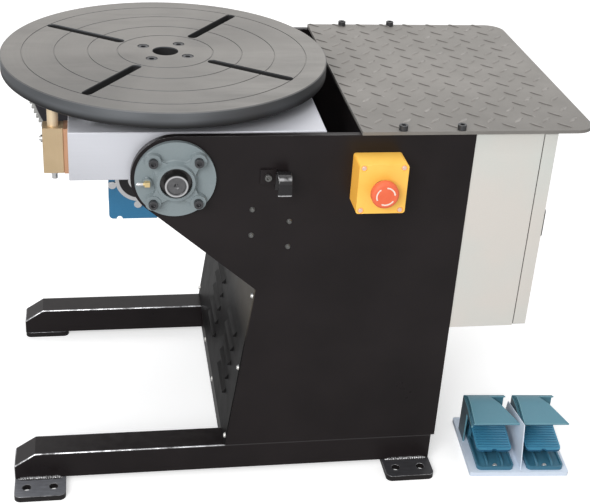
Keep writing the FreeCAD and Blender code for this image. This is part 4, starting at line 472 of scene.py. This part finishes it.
def from_shaft(f):
    """Distance from the tilting shaft's axis, which runs along Y."""
    x, _, z = f.axes()
    return (x * x + (z - TILT_Z) * (z - TILT_Z)) ** 0.5


def bearing_steel():
    f = Finish("bearing_and_shaft")
    radius = from_shaft(f)
    turned = f.noise(1.0, 2.0, 0.6, f.node("ShaderNodeCombineXYZ", {}, {0: radius * 2500.0}))
    cloud = f.noise(120.0, 3.0)
    dull = f.mix(turned * 0.5 + cloud * 0.5, (0.08, 0.08, 0.085), (0.24, 0.24, 0.245))
    band = radius.between(0.0138, 0.0142) * (1.0 - radius.between(0.0160, 0.0164))
    ringed = f.mix(band, dull, (0.62, 0.62, 0.63))
    oily = f.mix(turned.between(0.35, 0.65), (0.022, 0.021, 0.022), (0.120, 0.116, 0.116))
    colour = f.mix(radius.between(0.0163, 0.0168), ringed, oily)
    return f.coat(base_color=colour, roughness=0.24 + cloud * 0.12, metallic=0.85,
                  normal=f.bump(turned, 0.00004, 0.5))


def gear_steel():
    f = Finish("oiled_gear")
    radius = from_shaft(f)
    grime = f.noise(45.0, 4.0)
    oiled = f.mix(grime, (0.014, 0.013, 0.016), (0.034, 0.031, 0.036))
    bare = f.mix(grime, (0.30, 0.30, 0.29), (0.46, 0.46, 0.44))
    colour = f.mix(radius.between(0.2225, 0.2240), oiled, bare)
    return f.coat(base_color=colour, roughness=0.34 + grime * 0.15, metallic=0.5,
                  normal=f.bump(f.noise(700.0, 2.0), 0.00004, 0.4))


# %% [markdown]
# ## Castings, painted housings and plastics
# A painted casting keeps the sand's texture under its paint. Moulded plastic is smoother and has a faint wave.

# %% Painted casting and moulding


def painted_casting(name, dark, light, grit=420.0, depth=0.0003, roughness=0.42, gloss=0.45):
    f = Finish(name)
    sand = f.noise(grit, 3.0, 0.6)
    cloud = f.noise(24.0, 4.0)
    colour = f.mix(sand * 0.35 + cloud * 0.65, dark, light)
    return f.coat(base_color=colour, roughness=roughness + cloud * 0.12, gloss=gloss,
                  normal=f.bump(sand, depth, 0.5))


def moulded(name, dark, light, roughness=0.34, gloss=0.5):
    f = Finish(name)
    wave = f.noise(35.0, 2.0)
    grain = f.noise(1500.0, 2.0)
    colour = f.mix(wave.between(0.3, 0.7), dark, light)
    return f.coat(base_color=colour, roughness=roughness + wave * 0.08, gloss=gloss,
                  normal=f.bump(grain, 0.00002, 0.3))


# %% [markdown]
# The stop button's box is a thin signal-yellow moulding. Its side facing -X is painted a deeper orange as shade,
# and a very weak glow in the same colour is painted light, stronger on the top and sides than on the front, so
# that they never go brown.

# %% Signal yellow


def signal_yellow():
    f = Finish("yellow_housing")
    wave = f.noise(35.0, 2.0)
    to_rear, away, up = f.facing()
    shaded = 1.0 - (0.0 - away).between(0.30, 0.90)
    # painted shade: faces turned towards -X get a deeper orange
    side = (0.0 - to_rear).between(0.4, 0.9)
    colour = f.mix(wave.between(0.3, 0.7), (0.98, 0.575, 0.098), (1.00, 0.630, 0.125))
    warm = f.mix(side * 0.8, colour, (1.0, 0.500, 0.070))
    f.shader.inputs["Emission Strength"].default_value = 1.0
    # painted light: a glow, stronger on faces that do not face -Y
    glow = f.mix(shaded, (0.110, 0.030, 0.000), (0.210, 0.095, 0.012))
    return f.coat(base_color=warm, roughness=0.34 + wave * 0.08, gloss=0.5, glow=glow,
                  normal=f.bump(f.noise(1500.0, 2.0), 0.00002, 0.3))


# %% [markdown]
# The cabinet is powder coated. The coat is even to the touch, but broad patches of it are a little cooler or
# warmer, and the light face greys slightly towards the seam under the cover.

# %% Powder-coated cabinet


def cabinet_paint():
    f = Finish("cabinet_cream")
    _, _, z = f.axes()
    sand = f.noise(700.0, 3.0, 0.6)
    patch = f.noise(5.0, 3.0, 0.55)
    cool = f.mix(sand, (0.640, 0.660, 0.625), (0.685, 0.705, 0.665))
    warm = f.mix(sand, (0.690, 0.655, 0.610), (0.735, 0.700, 0.650))
    colour = f.mix(patch.between(0.36, 0.62), cool, warm)
    shade = f.mix(z.between(-0.075, -0.040) * 0.22, colour, (0.40, 0.42, 0.41))
    return f.coat(base_color=shade, roughness=0.38 + patch * 0.12, gloss=0.4, normal=f.bump(sand, 0.00012, 0.5))


# %% [markdown]
# The earth contact is a brass block with a copper strip behind it. Drawn bar keeps long fine lines along its
# length, so this noise is stretched upwards.

# %% Brass and copper


def brass(name, dark, light):
    f = Finish(name)
    drawn = f.noise(1.0, 4.0, 0.6, f.stretched(700.0, 700.0, 25.0))
    cloud = f.noise(45.0, 4.0)
    colour = f.mix(drawn * 0.4 + cloud * 0.6, dark, light)
    return f.coat(base_color=colour, roughness=0.36 + cloud * 0.15, metallic=0.55,
                  normal=f.bump(drawn, 0.00004, 0.4))


# %% [markdown]
# Two pieces change finish along their length. A treadle is painted pale on its upward-looking ribs as painted
# light, and keeps a deep blue as painted shade on the steep riser behind them. A grease nipple is brass where it
# screws in and zinc-plated at its tip.

# %% Treadle paint and grease nipple


def hood_paint():
    """Teal enamel, with the side wall facing -X painted dark as shade."""
    f = Finish("hood_paint")
    sand = f.noise(380.0, 3.0, 0.6)
    cloud = f.noise(24.0, 4.0)
    # painted shade on the side wall facing -X
    side = (0.0 - f.facing()[0]).between(0.55, 0.90)
    teal = f.mix(sand * 0.35 + cloud * 0.65, (0.074, 0.232, 0.310), (0.106, 0.286, 0.368))
    return f.coat(base_color=f.mix(side * 0.85, teal, (0.012, 0.035, 0.055)), roughness=0.28 + cloud * 0.12,
                  gloss=0.45, normal=f.bump(sand, 0.00025, 0.5))


def treadle_paint():
    f = Finish("treadle_paint")
    sand = f.noise(380.0, 3.0, 0.6)
    cloud = f.noise(24.0, 4.0)
    # painted light: faces that look up are painted pale, steep faces keep a deep blue as painted shade
    lit_top = f.upward().between(0.70, 0.96)
    blue = f.mix(cloud, (0.012, 0.088, 0.175), (0.020, 0.120, 0.225))
    pale = f.mix(sand * 0.4 + cloud * 0.6, (0.052, 0.260, 0.410), (0.085, 0.330, 0.500))
    return f.coat(base_color=f.mix(lit_top, blue, pale), roughness=0.30 + cloud * 0.12, gloss=0.45,
                  normal=f.bump(sand, 0.0002, 0.5))


def nipple_metal():
    f = Finish("grease_nipple_metal")
    low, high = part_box("grease_nipples")
    x, _, _ = f.axes()
    scratch = f.noise(900.0, 3.0)
    shank = f.mix(scratch, (0.50, 0.50, 0.50), (0.80, 0.80, 0.80))
    gold = f.mix(scratch, (0.70, 0.52, 0.24), (0.88, 0.70, 0.38))
    inner = x.between(low.x + 0.48 * (high.x - low.x), low.x + 0.52 * (high.x - low.x))
    return f.coat(base_color=f.mix(inner, shank, gold), roughness=0.28, metallic=0.7,
                  normal=f.bump(scratch, 0.00002, 0.4))


# %% [markdown]
# The record gives every CAD piece a material slot. This table turns each slot into its finish, in linear
# colour from dark to light. The entries from "arris" on are extra finishes, for edges and for pieces that look
# different from the rest of their slot.

# %% One finish for each slot
FINISH = {
    "black_paint": black_paint(),
    "tread_steel": tread_steel(),
    "blackened_iron": turned_table(),
    "machined_steel": milled_steel(),
    "unit_grey": painted_casting("bearing_unit_grey",
                                 (0.195, 0.238, 0.252), (0.265, 0.306, 0.318), 260.0, 0.0005, 0.38),
    "bright_steel": bright_steel("bright_steel", (0.52, 0.52, 0.53), (0.74, 0.74, 0.75)),
    "bearing_steel": bearing_steel(),
    "gear_steel": gear_steel(),
    "dark_screws": bright_steel("blackened_screws", (0.055, 0.056, 0.060), (0.11, 0.11, 0.115), 0.30, 0.85),
    "zinc_screws": small_screw_zinc(),
    "brass": brass("machined_brass", (0.50, 0.37, 0.215), (0.62, 0.475, 0.30)),
    "copper": brass("copper_strip_finish", (0.54, 0.29, 0.17), (0.64, 0.36, 0.22)),
    "silver_fittings": bright_steel("zinc_fittings", (0.50, 0.50, 0.50), (0.72, 0.72, 0.72)),
    "blue_paint": painted_casting("gearbox_blue",
                                  (0.020, 0.150, 0.300), (0.036, 0.200, 0.375), 300.0, 0.0002, 0.32),
    "dark_blue_paint": painted_casting("cowl_blue",
                                       (0.018, 0.120, 0.250), (0.028, 0.155, 0.305), 300.0, 0.0001, 0.30),
    "seal_rubber": moulded("seal_rubber_finish", (0.016, 0.015, 0.016), (0.030, 0.028, 0.030), 0.55, 0.3),
    "yellow_plastic": signal_yellow(),
    "black_plastic": moulded("black_moulding", (0.018, 0.018, 0.020), (0.030, 0.030, 0.032), 0.45, 0.35),
    "red_plastic": moulded("red_mushroom", (0.86, 0.145, 0.062), (0.93, 0.190, 0.088), 0.5, 0.3),
    "cream_paint": cabinet_paint(),
    "plate_zinc": bright_steel("galvanised_plate", (0.50, 0.51, 0.52), (0.68, 0.69, 0.70), 0.38, 0.8),
    "grey_plastic": moulded("drive_grey", (0.36, 0.37, 0.38), (0.43, 0.44, 0.45), 0.5, 0.35),
    "tray_aluminium": painted_casting("tray_white",
                                      (0.72, 0.82, 0.98), (0.82, 0.90, 1.00), 500.0, 0.0001, 0.36, 0.4),
    "pedal_teal": painted_casting("pedal_teal_paint",
                                  (0.034, 0.150, 0.235), (0.060, 0.195, 0.285), 380.0, 0.00025, 0.34),
    "arris": arris_highlight_paint(),
    "pad": pad_paint(),
    "weld": weld_paint(),
    "lozenge": lozenge_steel(),
    "rod_brass": brass("drawn_brass_rod", (0.74, 0.59, 0.40), (0.88, 0.72, 0.50)),
    "dull_zinc": bright_steel("weathered_screws", (0.11, 0.11, 0.11), (0.22, 0.22, 0.21), 0.24, 0.7),
    "panel": panel_paint(),
    "strap": strap_paint(),
    # painted highlight: a paler teal on the rounded edges of the pedal hoods
    "teal_edge_highlight": painted_casting("teal_edge_highlight_paint",
                                (0.150, 0.360, 0.430), (0.300, 0.520, 0.580), 160.0, 0.0002, 0.26),
    "hood_teal": hood_paint(),
    "treadle_blue": treadle_paint(),
    "nipple": nipple_metal(),
}
print("finishes made:", len(FINISH))

# %% [markdown]
# ## Easing the edges of the CAD pieces
# A CAD edge is perfectly sharp, so it catches no light. Most pieces are copied, their loose triangles are merged,
# their flat faces joined, and a narrow Bevel rounds what is left sharper than about 35 degrees; two copies get no
# Bevel, only normals weighted towards their flat faces, a few pieces are left sharp with just their finish, and
# the cable hook is made anew further on. Round faces are shaded smooth up to the same angle. Where two walls of
# one box meet on a mitre, the two hidden faces lie back to back on the same corners; they are taken out, so that
# no groove is cut along the mitre.

# %% Copies with eased edges
SLOT_OF = {row["node"]: row["material_slot"] for row in frame["record"]["subparts"]}
CREASE = math.radians(35)
PLAIN_WIDTH = 0.3
WIDTHS = {"table": 0.5, "tread_cover": 1.2, "leg_tubes": 2.0, "foot_pads": 1.6, "side_plate_front": 0.9,
          "side_plate_back": 0.9, "tilt_box": 0.5, "bearing_housings": 0, "estop_box": 1.6, "estop_lid": 1.6,
          "cabinet_door": 1.8, "cabinet_shell": 1.6, "pedal_tray": 0.8, "pedal_bases": 1.0,
          "pedal_hoods": 1.2, "treadle_left": 0.6, "treadle_right": 0.6, "earth_block": 0.4, "door_handle": 1.5,
          "cross_beams": 1.5, "louvre_panel": 0, "first_stage_gearbox": 0.8, "rotation_gearbox": 1.5,
          "tilt_gearbox": 1.5}
OTHER = {"foot_pads": "pad", "louvre_panel": "panel", "contact_rod": "rod_brass", "plate_screws": "dull_zinc",
         "pedal_hoods": "hood_teal", "treadle_left": "treadle_blue", "treadle_right": "treadle_blue",
         "grease_nipples": "nipple"}
ARRIS = {"leg_tubes": "arris", "foot_pads": "arris", "side_plate_front": "arris", "side_plate_back": "arris",
         "cross_beams": "arris", "pedal_hoods": "teal_edge_highlight"}
MITRED = ("cabinet_shell",)
SHARP = ("control_gear", "motor_drives", "mounting_plate", "spindle_bearings", "copper_strip", "door_gasket")


def drop_twins(work):
    """Deletes faces that lie back to back on the same corners."""
    seen = {}
    for face in work.faces:
        seen.setdefault(frozenset(v.index for v in face.verts), []).append(face)
    twins = [face for group in seen.values() if len(group) > 1 for face in group]
    bmesh.ops.delete(work, geom=twins, context="FACES")


def join_flats(work):
    bmesh.ops.dissolve_limit(work, angle_limit=math.radians(0.5), verts=work.verts, edges=work.edges)
    work.verts.index_update()


def eased(node, width, finish=None, arris=None):
    """A copy of a CAD node with edges rounded by width millimetres, in its slot's finish or another one."""
    mesh = frame["nodes"][node].data.copy()
    work = bmesh.new()
    work.from_mesh(mesh)
    bmesh.ops.remove_doubles(work, verts=work.verts, dist=2e-6)
    work.verts.index_update()
    for _ in range(2 if node in MITRED else 0):
        drop_twins(work)
        join_flats(work)
    join_flats(work)
    work.to_mesh(mesh)
    work.free()
    mesh.materials.clear()
    mesh.materials.append(FINISH[finish or SLOT_OF[node]])
    if arris:
        mesh.materials.append(FINISH[arris])
    mesh.shade_smooth()
    mesh.set_sharp_from_angle(angle=CREASE)
    piece = bpy.data.objects.new("dressed_" + node, mesh)
    bpy.context.scene.collection.objects.link(piece)
    if width:
        bevel = piece.modifiers.new("eased", "BEVEL")
        bevel.width = width * MM
        bevel.segments = 2
        bevel.limit_method = "ANGLE"
        bevel.angle_limit = CREASE
        bevel.use_clamp_overlap = True
        bevel.harden_normals = True
        bevel.material = 1 if arris else -1
    else:
        weight = piece.modifiers.new("flat faces stay flat", "WEIGHTED_NORMAL")
        weight.keep_sharp = True
    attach(piece, BODY_OF[node])
    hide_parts(node)
    return piece


for node in SHARP:
    for holder in frame["nodes"][node].material_slots:
        holder.material = FINISH[SLOT_OF[node]]
copies = [eased(node, WIDTHS.get(node, PLAIN_WIDTH), OTHER.get(node), ARRIS.get(node))
          for node in sorted(frame["nodes"]) if node not in SHARP and node != "cable_hook"]
print("eased copies:", len(copies), "left sharp:", len(SHARP))

# %% [markdown]
# ## The tread pattern
# Tread plate is rolled with raised lozenges that lean left and right by turns on a square grid, so that a shoe
# grips whichever way it slides. One lozenge is a small dome over a pointed oval.

# %% Raised lozenges
COVER_LOW, COVER_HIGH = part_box("tread_cover")
PITCH = (42.6 * MM, 41.5 * MM)
FIRST = (0.2754, -0.2220)
LOZENGE_L, LOZENGE_W, LOZENGE_H = 26.0 * MM, 6.4 * MM, 1.7 * MM


def mesh_piece(name, points, faces, body, slot, smooth=True, finish=None):
    """A mesh object from arrays, in a finish, riding on a body of the machine."""
    mesh = bpy.data.meshes.new(name)
    mesh.from_pydata(points.tolist(), [], faces.tolist())
    mesh.update()
    mesh.materials.append(FINISH[finish or slot])
    if smooth:
        mesh.shade_smooth()
    piece = bpy.data.objects.new(name, mesh)
    bpy.context.scene.collection.objects.link(piece)
    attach(piece, body)
    return piece


def tidy_mesh(mesh, sharp):
    """Merges doubled points, turns every face outwards, and shades smooth up to an angle in degrees."""
    work = bmesh.new()
    work.from_mesh(mesh)
    bmesh.ops.remove_doubles(work, verts=work.verts, dist=1e-6)
    bmesh.ops.dissolve_degenerate(work, dist=1e-7, edges=work.edges)
    bmesh.ops.recalc_face_normals(work, faces=work.faces)
    work.to_mesh(mesh)
    work.free()
    mesh.shade_smooth()
    mesh.set_sharp_from_angle(angle=math.radians(sharp))


def grid_faces(rows, columns):
    """Quads of a rows by columns grid of points, counted row by row."""
    r, c = np.meshgrid(np.arange(rows - 1), np.arange(columns - 1), indexing="ij")
    a = (r * columns + c).ravel()
    return np.stack([a, a + 1, a + columns + 1, a + columns], axis=1)


def gathered(parts):
    """Joins several (points, faces) pairs into one, with the faces counted on from piece to piece."""
    points, faces, count = [], [], 0
    for some, quads in parts:
        points.append(some)
        faces.append(quads + count)
        count += len(some)
    return np.concatenate(points), np.concatenate(faces)


def lozenge(rows=11, columns=7):
    """Dome over a pointed oval, for s and t in -1..1: half width W/2 (1 - s^2)^0.8, height
    H (1 - s^4) (1 - t^2)^0.6."""
    s, t = np.meshgrid(np.linspace(-1, 1, rows), np.linspace(-1, 1, columns), indexing="ij")
    across = LOZENGE_W / 2 * (1 - s ** 2) ** 0.8 * t
    height = LOZENGE_H * (1 - s ** 4) * np.maximum(1 - t ** 2, 0) ** 0.6
    return np.stack([LOZENGE_L / 2 * s, across, height], axis=-1).reshape(-1, 3), grid_faces(rows, columns)


def tread_pattern():
    shape, faces = lozenge()
    spots = []
    for lean, offset in ((-45.0, 0.0), (45.0, 0.5)):
        columns = np.arange(-1, 10) + offset
        rows = np.arange(-1, 13) + offset
        gx, gy = np.meshgrid(FIRST[0] + columns * PITCH[0], FIRST[1] + rows * PITCH[1], indexing="ij")
        spots.append(np.stack([gx.ravel(), gy.ravel(), np.full(gx.size, math.radians(lean))], axis=1))
    spots = np.concatenate(spots)
    inside = ((spots[:, 0] > COVER_LOW.x + 0.004) & (spots[:, 0] < COVER_HIGH.x - 0.006)
              & (spots[:, 1] > COVER_LOW.y + 0.004) & (spots[:, 1] < COVER_HIGH.y - 0.004))
    corner = np.hypot(np.maximum(spots[:, 0] - (COVER_HIGH.x - 0.030), 0),
                      np.maximum(np.abs(spots[:, 1]) - (COVER_HIGH.y - 0.030), 0))
    spots = spots[inside & (corner < 0.024)]
    c, s = np.cos(spots[:, 2])[:, None], np.sin(spots[:, 2])[:, None]
    x = spots[:, 0:1] + c * shape[None, :, 0] - s * shape[None, :, 1]
    y = spots[:, 1:2] + s * shape[None, :, 0] + c * shape[None, :, 1]
    x = np.clip(x, COVER_LOW.x + 0.0006, COVER_HIGH.x - 0.0012)
    y = np.clip(y, COVER_LOW.y + 0.0012, COVER_HIGH.y - 0.0012)
    z = np.broadcast_to(shape[None, :, 2], x.shape) + COVER_HIGH.z - 0.00002
    points = np.stack([x, y, z], axis=-1).reshape(-1, 3)
    every = (faces[None] + np.arange(len(spots))[:, None, None] * len(shape)).reshape(-1, 4)
    print("lozenges:", len(spots))
    mesh_piece("tread_lozenges", points, every, BODY_OF["tread_cover"], "tread_steel", finish="lozenge")


tread_pattern()

# %% [markdown]
# ## Weld beads
# The pads are welded under the legs and the side plates on top of them. A bead is laid as a row of small
# overlapping puddles, so its radius swells and falls in step with them. Each is a quarter round carried along
# a straight corner, and closed in the corner behind.

# %% Weld beads
BEAD_R, BEAD_STEP = 4.2 * MM, 3.6 * MM
PAD_L, PAD_MARGIN = 80 * MM, 4 * MM
PLATE_WELDS = ((0.100, 0.190), (0.300, 0.400))


def weld_bead(start, end, side, up, seed):
    """Points of corner + r (side cos v + up sin v), with v from 0 to 90 degrees: r swells with |sin| of the
    length over the step, and tapers to nothing at both ends."""
    start, end, side, up = (np.array(v, dtype=float) for v in (start, end, side, up))
    length = np.linalg.norm(end - start)
    rows = int(length / BEAD_STEP) * 6 + 1
    s = np.linspace(0, 1, rows)
    ripple = 0.78 + 0.22 * np.abs(np.sin(np.pi * s * length / BEAD_STEP)) + 0.06 * np.sin(s * 31.0 + seed)
    ends = np.clip(np.minimum(s, 1 - s) * length / (2 * BEAD_R), 0, 1) ** 0.5
    v = np.radians(np.linspace(0, 90, 7))
    profile = np.concatenate([[[0, 0]], np.stack([np.cos(v), np.sin(v)], axis=1), [[0, 0]]])
    r = (BEAD_R * ripple * ends)[:, None]
    along = start + (end - start) * s[:, None]
    points = along[:, None] + r[:, :, None] * (profile[None, :, 0:1] * side + profile[None, :, 1:2] * up)
    return points.reshape(-1, 3), grid_faces(rows, len(profile))


def weld_beads():
    low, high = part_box("foot_pads")
    legs_low, legs_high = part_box("leg_tubes")
    beads = []
    for sign, wall in ((-1, legs_low.y), (1, legs_high.y)):
        for x0 in (low.x, high.x - PAD_L):
            beads.append(((x0 + PAD_MARGIN, wall, legs_low.z), (x0 + PAD_L - PAD_MARGIN, wall, legs_low.z),
                          (0, sign, 0)))
        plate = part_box("side_plate_front" if sign < 0 else "side_plate_back")
        inner = plate[1].y if sign < 0 else plate[0].y
        for x0, x1 in PLATE_WELDS:
            beads.append(((x0, inner, legs_high.z), (x1, inner, legs_high.z), (0, -sign, 0)))
    points, faces = gathered(weld_bead(start, end, side, (0, 0, 1), seed * 1.7)
                             for seed, (start, end, side) in enumerate(beads))
    piece = mesh_piece("weld_beads", points, faces, BODY_OF["foot_pads"], "black_paint", finish="weld")
    tidy_mesh(piece.data, 50)
    print("weld beads:", len(beads), "faces:", len(piece.data.polygons))


weld_beads()

# %% [markdown]
# ## Screws along the foot of the panel
# Two small pan-head screws hold the foot of the leaning panel to the beam behind it. A pan head is a low dome:
# a circle whose height falls off with the fourth power of the radius, which leaves it flat on top.

# %% Panel foot screws
FOOT_SCREWS_Y, FOOT_SCREW_Z = (0.108, -0.021), -0.606


def pan_head(face_x, y, z, radius=5.0 * MM, height=2.6 * MM, rings=6, around=20):
    """Dome facing -X: for q in 0..1 and angle a, (face - height (1 - q^4), y + q R cos a, z + q R sin a)."""
    q, a = np.meshgrid(np.linspace(0, 1, rings), np.linspace(0, 2 * np.pi, around + 1), indexing="ij")
    x = face_x - height * (1 - q ** 4)
    points = np.stack([x, y + radius * q * np.cos(a), z + radius * q * np.sin(a)], axis=-1).reshape(-1, 3)
    return points, grid_faces(rings, around + 1)[:, ::-1]


def panel_foot_screws():
    face_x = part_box("cross_beams")[0].x
    points, faces = gathered(pan_head(face_x, y, FOOT_SCREW_Z) for y in FOOT_SCREWS_Y)
    piece = mesh_piece("panel_foot_screws", points, faces, BODY_OF["cross_beams"], "zinc_screws")
    tidy_mesh(piece.data, 40)
    print("foot screws:", len(piece.data.polygons), "faces at x", round(face_x, 4))


panel_foot_screws()

# %% [markdown]
# ## The cable hook
# The pedal cable hangs over a flat bar bent outwards at the top. It is a rounded strip carried along a path
# that runs up the plate, over in half an oval, and a little way down again, with a flat tail for its bolt.

# %% Cable hook
STRAP_T, STRAP_HALF_W, TAIL_HALF_W, ARCH_RISE = 4.0 * MM, 10 * MM, 12 * MM, 13.0 * MM


def strip_loop(half_x, half_t, count=24, power=5.0):
    """Closed section |a / half_x|^p + |b / half_t|^p = 1: nearly a rectangle, with its corners rounded."""
    v = np.linspace(0, 2 * np.pi, count, endpoint=False)
    c, s = np.cos(v), np.sin(v)
    return np.stack([half_x * np.sign(c) * np.abs(c) ** (2 / power),
                     half_t * np.sign(s) * np.abs(s) ** (2 / power)], 1)


def swept(path, middle_x, section):
    """Points path(u) + a x-axis + b normal(u) for each (a, b) of the section, with a flat cap at each end."""
    ahead = np.gradient(path, axis=0)
    ahead /= np.linalg.norm(ahead, axis=1)[:, None]
    normal = np.stack([-ahead[:, 1], ahead[:, 0]], axis=1)
    yz = path[:, None, :] + section[None, :, 1:2] * normal[:, None, :]
    x = np.broadcast_to(middle_x + section[None, :, 0], yz.shape[:2])
    points = np.concatenate([x[..., None], yz], axis=2).reshape(-1, 3)
    rows, ring = len(path), len(section)
    a, b = np.meshgrid(np.arange(rows - 1), np.arange(ring), indexing="ij")
    after = (b + 1) % ring
    quads = np.stack([a * ring + b, a * ring + after, (a + 1) * ring + after, (a + 1) * ring + b], -1)
    quads = quads.reshape(-1, 4)
    caps = [list(range(ring)), list(range((rows - 1) * ring, rows * ring))]
    return points.tolist(), quads.tolist() + caps


def cable_hook():
    low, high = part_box("cable_hook")
    t, reach = STRAP_T, high.y - low.y
    over = np.radians(np.linspace(0, 180, 25))
    mid_y, half_y = (low.y + high.y) / 2, (reach - t) / 2
    top = high.z - ARCH_RISE - t / 2
    arch = np.stack([mid_y + half_y * np.cos(over), top + ARCH_RISE * np.sin(over)], axis=1)
    foot = np.stack([np.full(6, arch[0, 0]), np.linspace(low.z + 4 * MM, top - 1 * MM, 6)], axis=1)
    drop = np.stack([np.full(5, arch[-1, 0]), np.linspace(top - 1 * MM, low.z + 8 * MM, 5)], axis=1)
    points, faces = swept(np.concatenate([foot, arch, drop]), high.x - STRAP_HALF_W,
                          strip_loop(STRAP_HALF_W, t / 2))
    tail_z = np.array([[high.y - t / 2, high.z - 25 * MM], [high.y - t / 2, high.z - 2 * MM]])
    tail, tail_faces = swept(tail_z, low.x + TAIL_HALF_W, strip_loop(TAIL_HALF_W, t / 2))
    strap_faces = len(faces)
    faces += [[i + len(points) for i in face] for face in tail_faces]
    mesh = bpy.data.meshes.new("bent_hook_strap")
    mesh.from_pydata(points + tail, [], faces)
    mesh.materials.append(FINISH["strap"])
    mesh.materials.append(FINISH["black_paint"])
    for face in mesh.polygons[strap_faces:]:
        face.material_index = 1
    tidy_mesh(mesh, 40)
    piece = bpy.data.objects.new("bent_hook_strap", mesh)
    bpy.context.scene.collection.objects.link(piece)
    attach(piece, BODY_OF["cable_hook"])
    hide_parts("cable_hook")
    print("hook faces:", len(mesh.polygons))


cable_hook()

# %% [markdown]
# ## Turn-to-release arrows on the mushroom head
# The head is turned to let it spring out again, and three pale arrows moulded into it show which way. Each is a
# band along an arc that widens into an arrowhead.

# %% Arrows
ARROW_R, ARROW_HALF, ARROW_STEPS = 13.2 * MM, 1.05 * MM, 17
ARROW_SWEEP, HEAD_FROM, HEAD_SPREAD = 84.0, 0.84, 1.7


def arrow(cx, cz, face, turn):
    """Points on two arcs, R - h(u) and R + h(u) from the centre, where h narrows to nothing over the head."""
    u = np.linspace(0, 1, ARROW_STEPS)
    angle = np.radians(turn - ARROW_SWEEP * u)
    h = np.where(u > HEAD_FROM, HEAD_SPREAD * ARROW_HALF * (1 - u) / (1 - HEAD_FROM), ARROW_HALF)
    sides = [np.stack([cx + r * np.cos(angle), np.full(ARROW_STEPS, face - 0.1 * MM), cz + r * np.sin(angle)], 1)
             for r in (ARROW_R - h, ARROW_R + h)]
    return np.concatenate(sides), grid_faces(2, ARROW_STEPS)


def arrow_ring():
    low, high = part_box("estop_head")
    cx, cz = (low.x + high.x) / 2, (low.z + high.z) / 2
    f = Finish("pale_inlay")
    pale = f.coat(base_color=f.mix(f.noise(220.0, 3.0), (0.88, 0.70, 0.58), (0.96, 0.86, 0.76)), roughness=0.45)
    points, faces = gathered(arrow(cx, cz, low.y, turn) for turn in (87.0, 207.0, 327.0))
    piece = mesh_piece("release_arrows", points, faces, BODY_OF["estop_head"], "red_plastic", smooth=False)
    piece.data.materials[0] = pale
    print("arrow faces:", len(piece.data.polygons))


arrow_ring()

# %% [markdown]
# ## Floor and light
# The floor is a plain pale sheet. A pale floor also lights the underside of the machine, so what it gives back
# to the machine is a little darker than what the camera sees of it; the Light Path node tells them apart.

# %% Floor
FLOOR_Z = CAD_BOX[0][2]


def pale_floor():
    f = Finish("pale_floor")
    seen = f.node("ShaderNodeLightPath", output=0)
    f.shader.inputs["Emission Strength"].default_value = 1.0
    return f.coat(base_color=f.mix(seen, (0.62, 0.62, 0.62), (0.90, 0.90, 0.90)), roughness=0.9, gloss=0.0,
                  glow=f.mix(seen, (0.0, 0.0, 0.0), (0.46, 0.46, 0.46)))


sheet = bpy.data.meshes.new("floor")
sheet.from_pydata([(-9, -9, FLOOR_Z), (9, -9, FLOOR_Z), (9, 9, FLOOR_Z), (-9, 9, FLOOR_Z)], [], [(0, 1, 2, 3)])
floor = bpy.data.objects.new("floor", sheet)
floor.data.materials.append(pale_floor())
bpy.context.scene.collection.objects.link(floor)

# %% [markdown]
# The sky is plain white. Polished metal should mirror that white, but it would flatten the shadows if it lit
# the machine at full strength, so only the camera and mirror rays see it whole. Two softboxes do the rest: a
# large one in front on the left, and a wide weak one overhead.

# %% World and lamps
world = bpy.data.worlds.new("studio")
bpy.context.scene.world = world
world.use_nodes = True
nodes, links = world.node_tree.nodes, world.node_tree.links
background = nodes["Background"]
path = nodes.new("ShaderNodeLightPath")
seen = nodes.new("ShaderNodeMath")
seen.operation = "MAXIMUM"
links.new(path.outputs["Is Camera Ray"], seen.inputs[0])
links.new(path.outputs["Is Glossy Ray"], seen.inputs[1])
level = nodes.new("ShaderNodeMapRange")
level.inputs["To Min"].default_value = 0.55
level.inputs["To Max"].default_value = 1.0
links.new(seen.outputs[0], level.inputs["Value"])
links.new(level.outputs[0], background.inputs["Strength"])
background.inputs["Color"].default_value = (1, 1, 1, 1)


def lamp(name, place, target, size, watts):
    """A square softbox that faces its target."""
    data = bpy.data.lights.new(name, "AREA")
    data.shape = "SQUARE"
    data.size = size
    data.energy = watts
    obj = bpy.data.objects.new(name, data)
    obj.location = place
    obj.rotation_mode = "QUATERNION"
    obj.rotation_quaternion = (Vector(target) - Vector(place)).to_track_quat("-Z", "Y")
    bpy.context.scene.collection.objects.link(obj)


lamp("key", (-1.5, -2.9, 1.5), (0.1, 0, -0.3), 1.8, 84)
lamp("top", (0.6, 1.0, 2.6), (0.1, 0, -0.3), 2.4, 26)
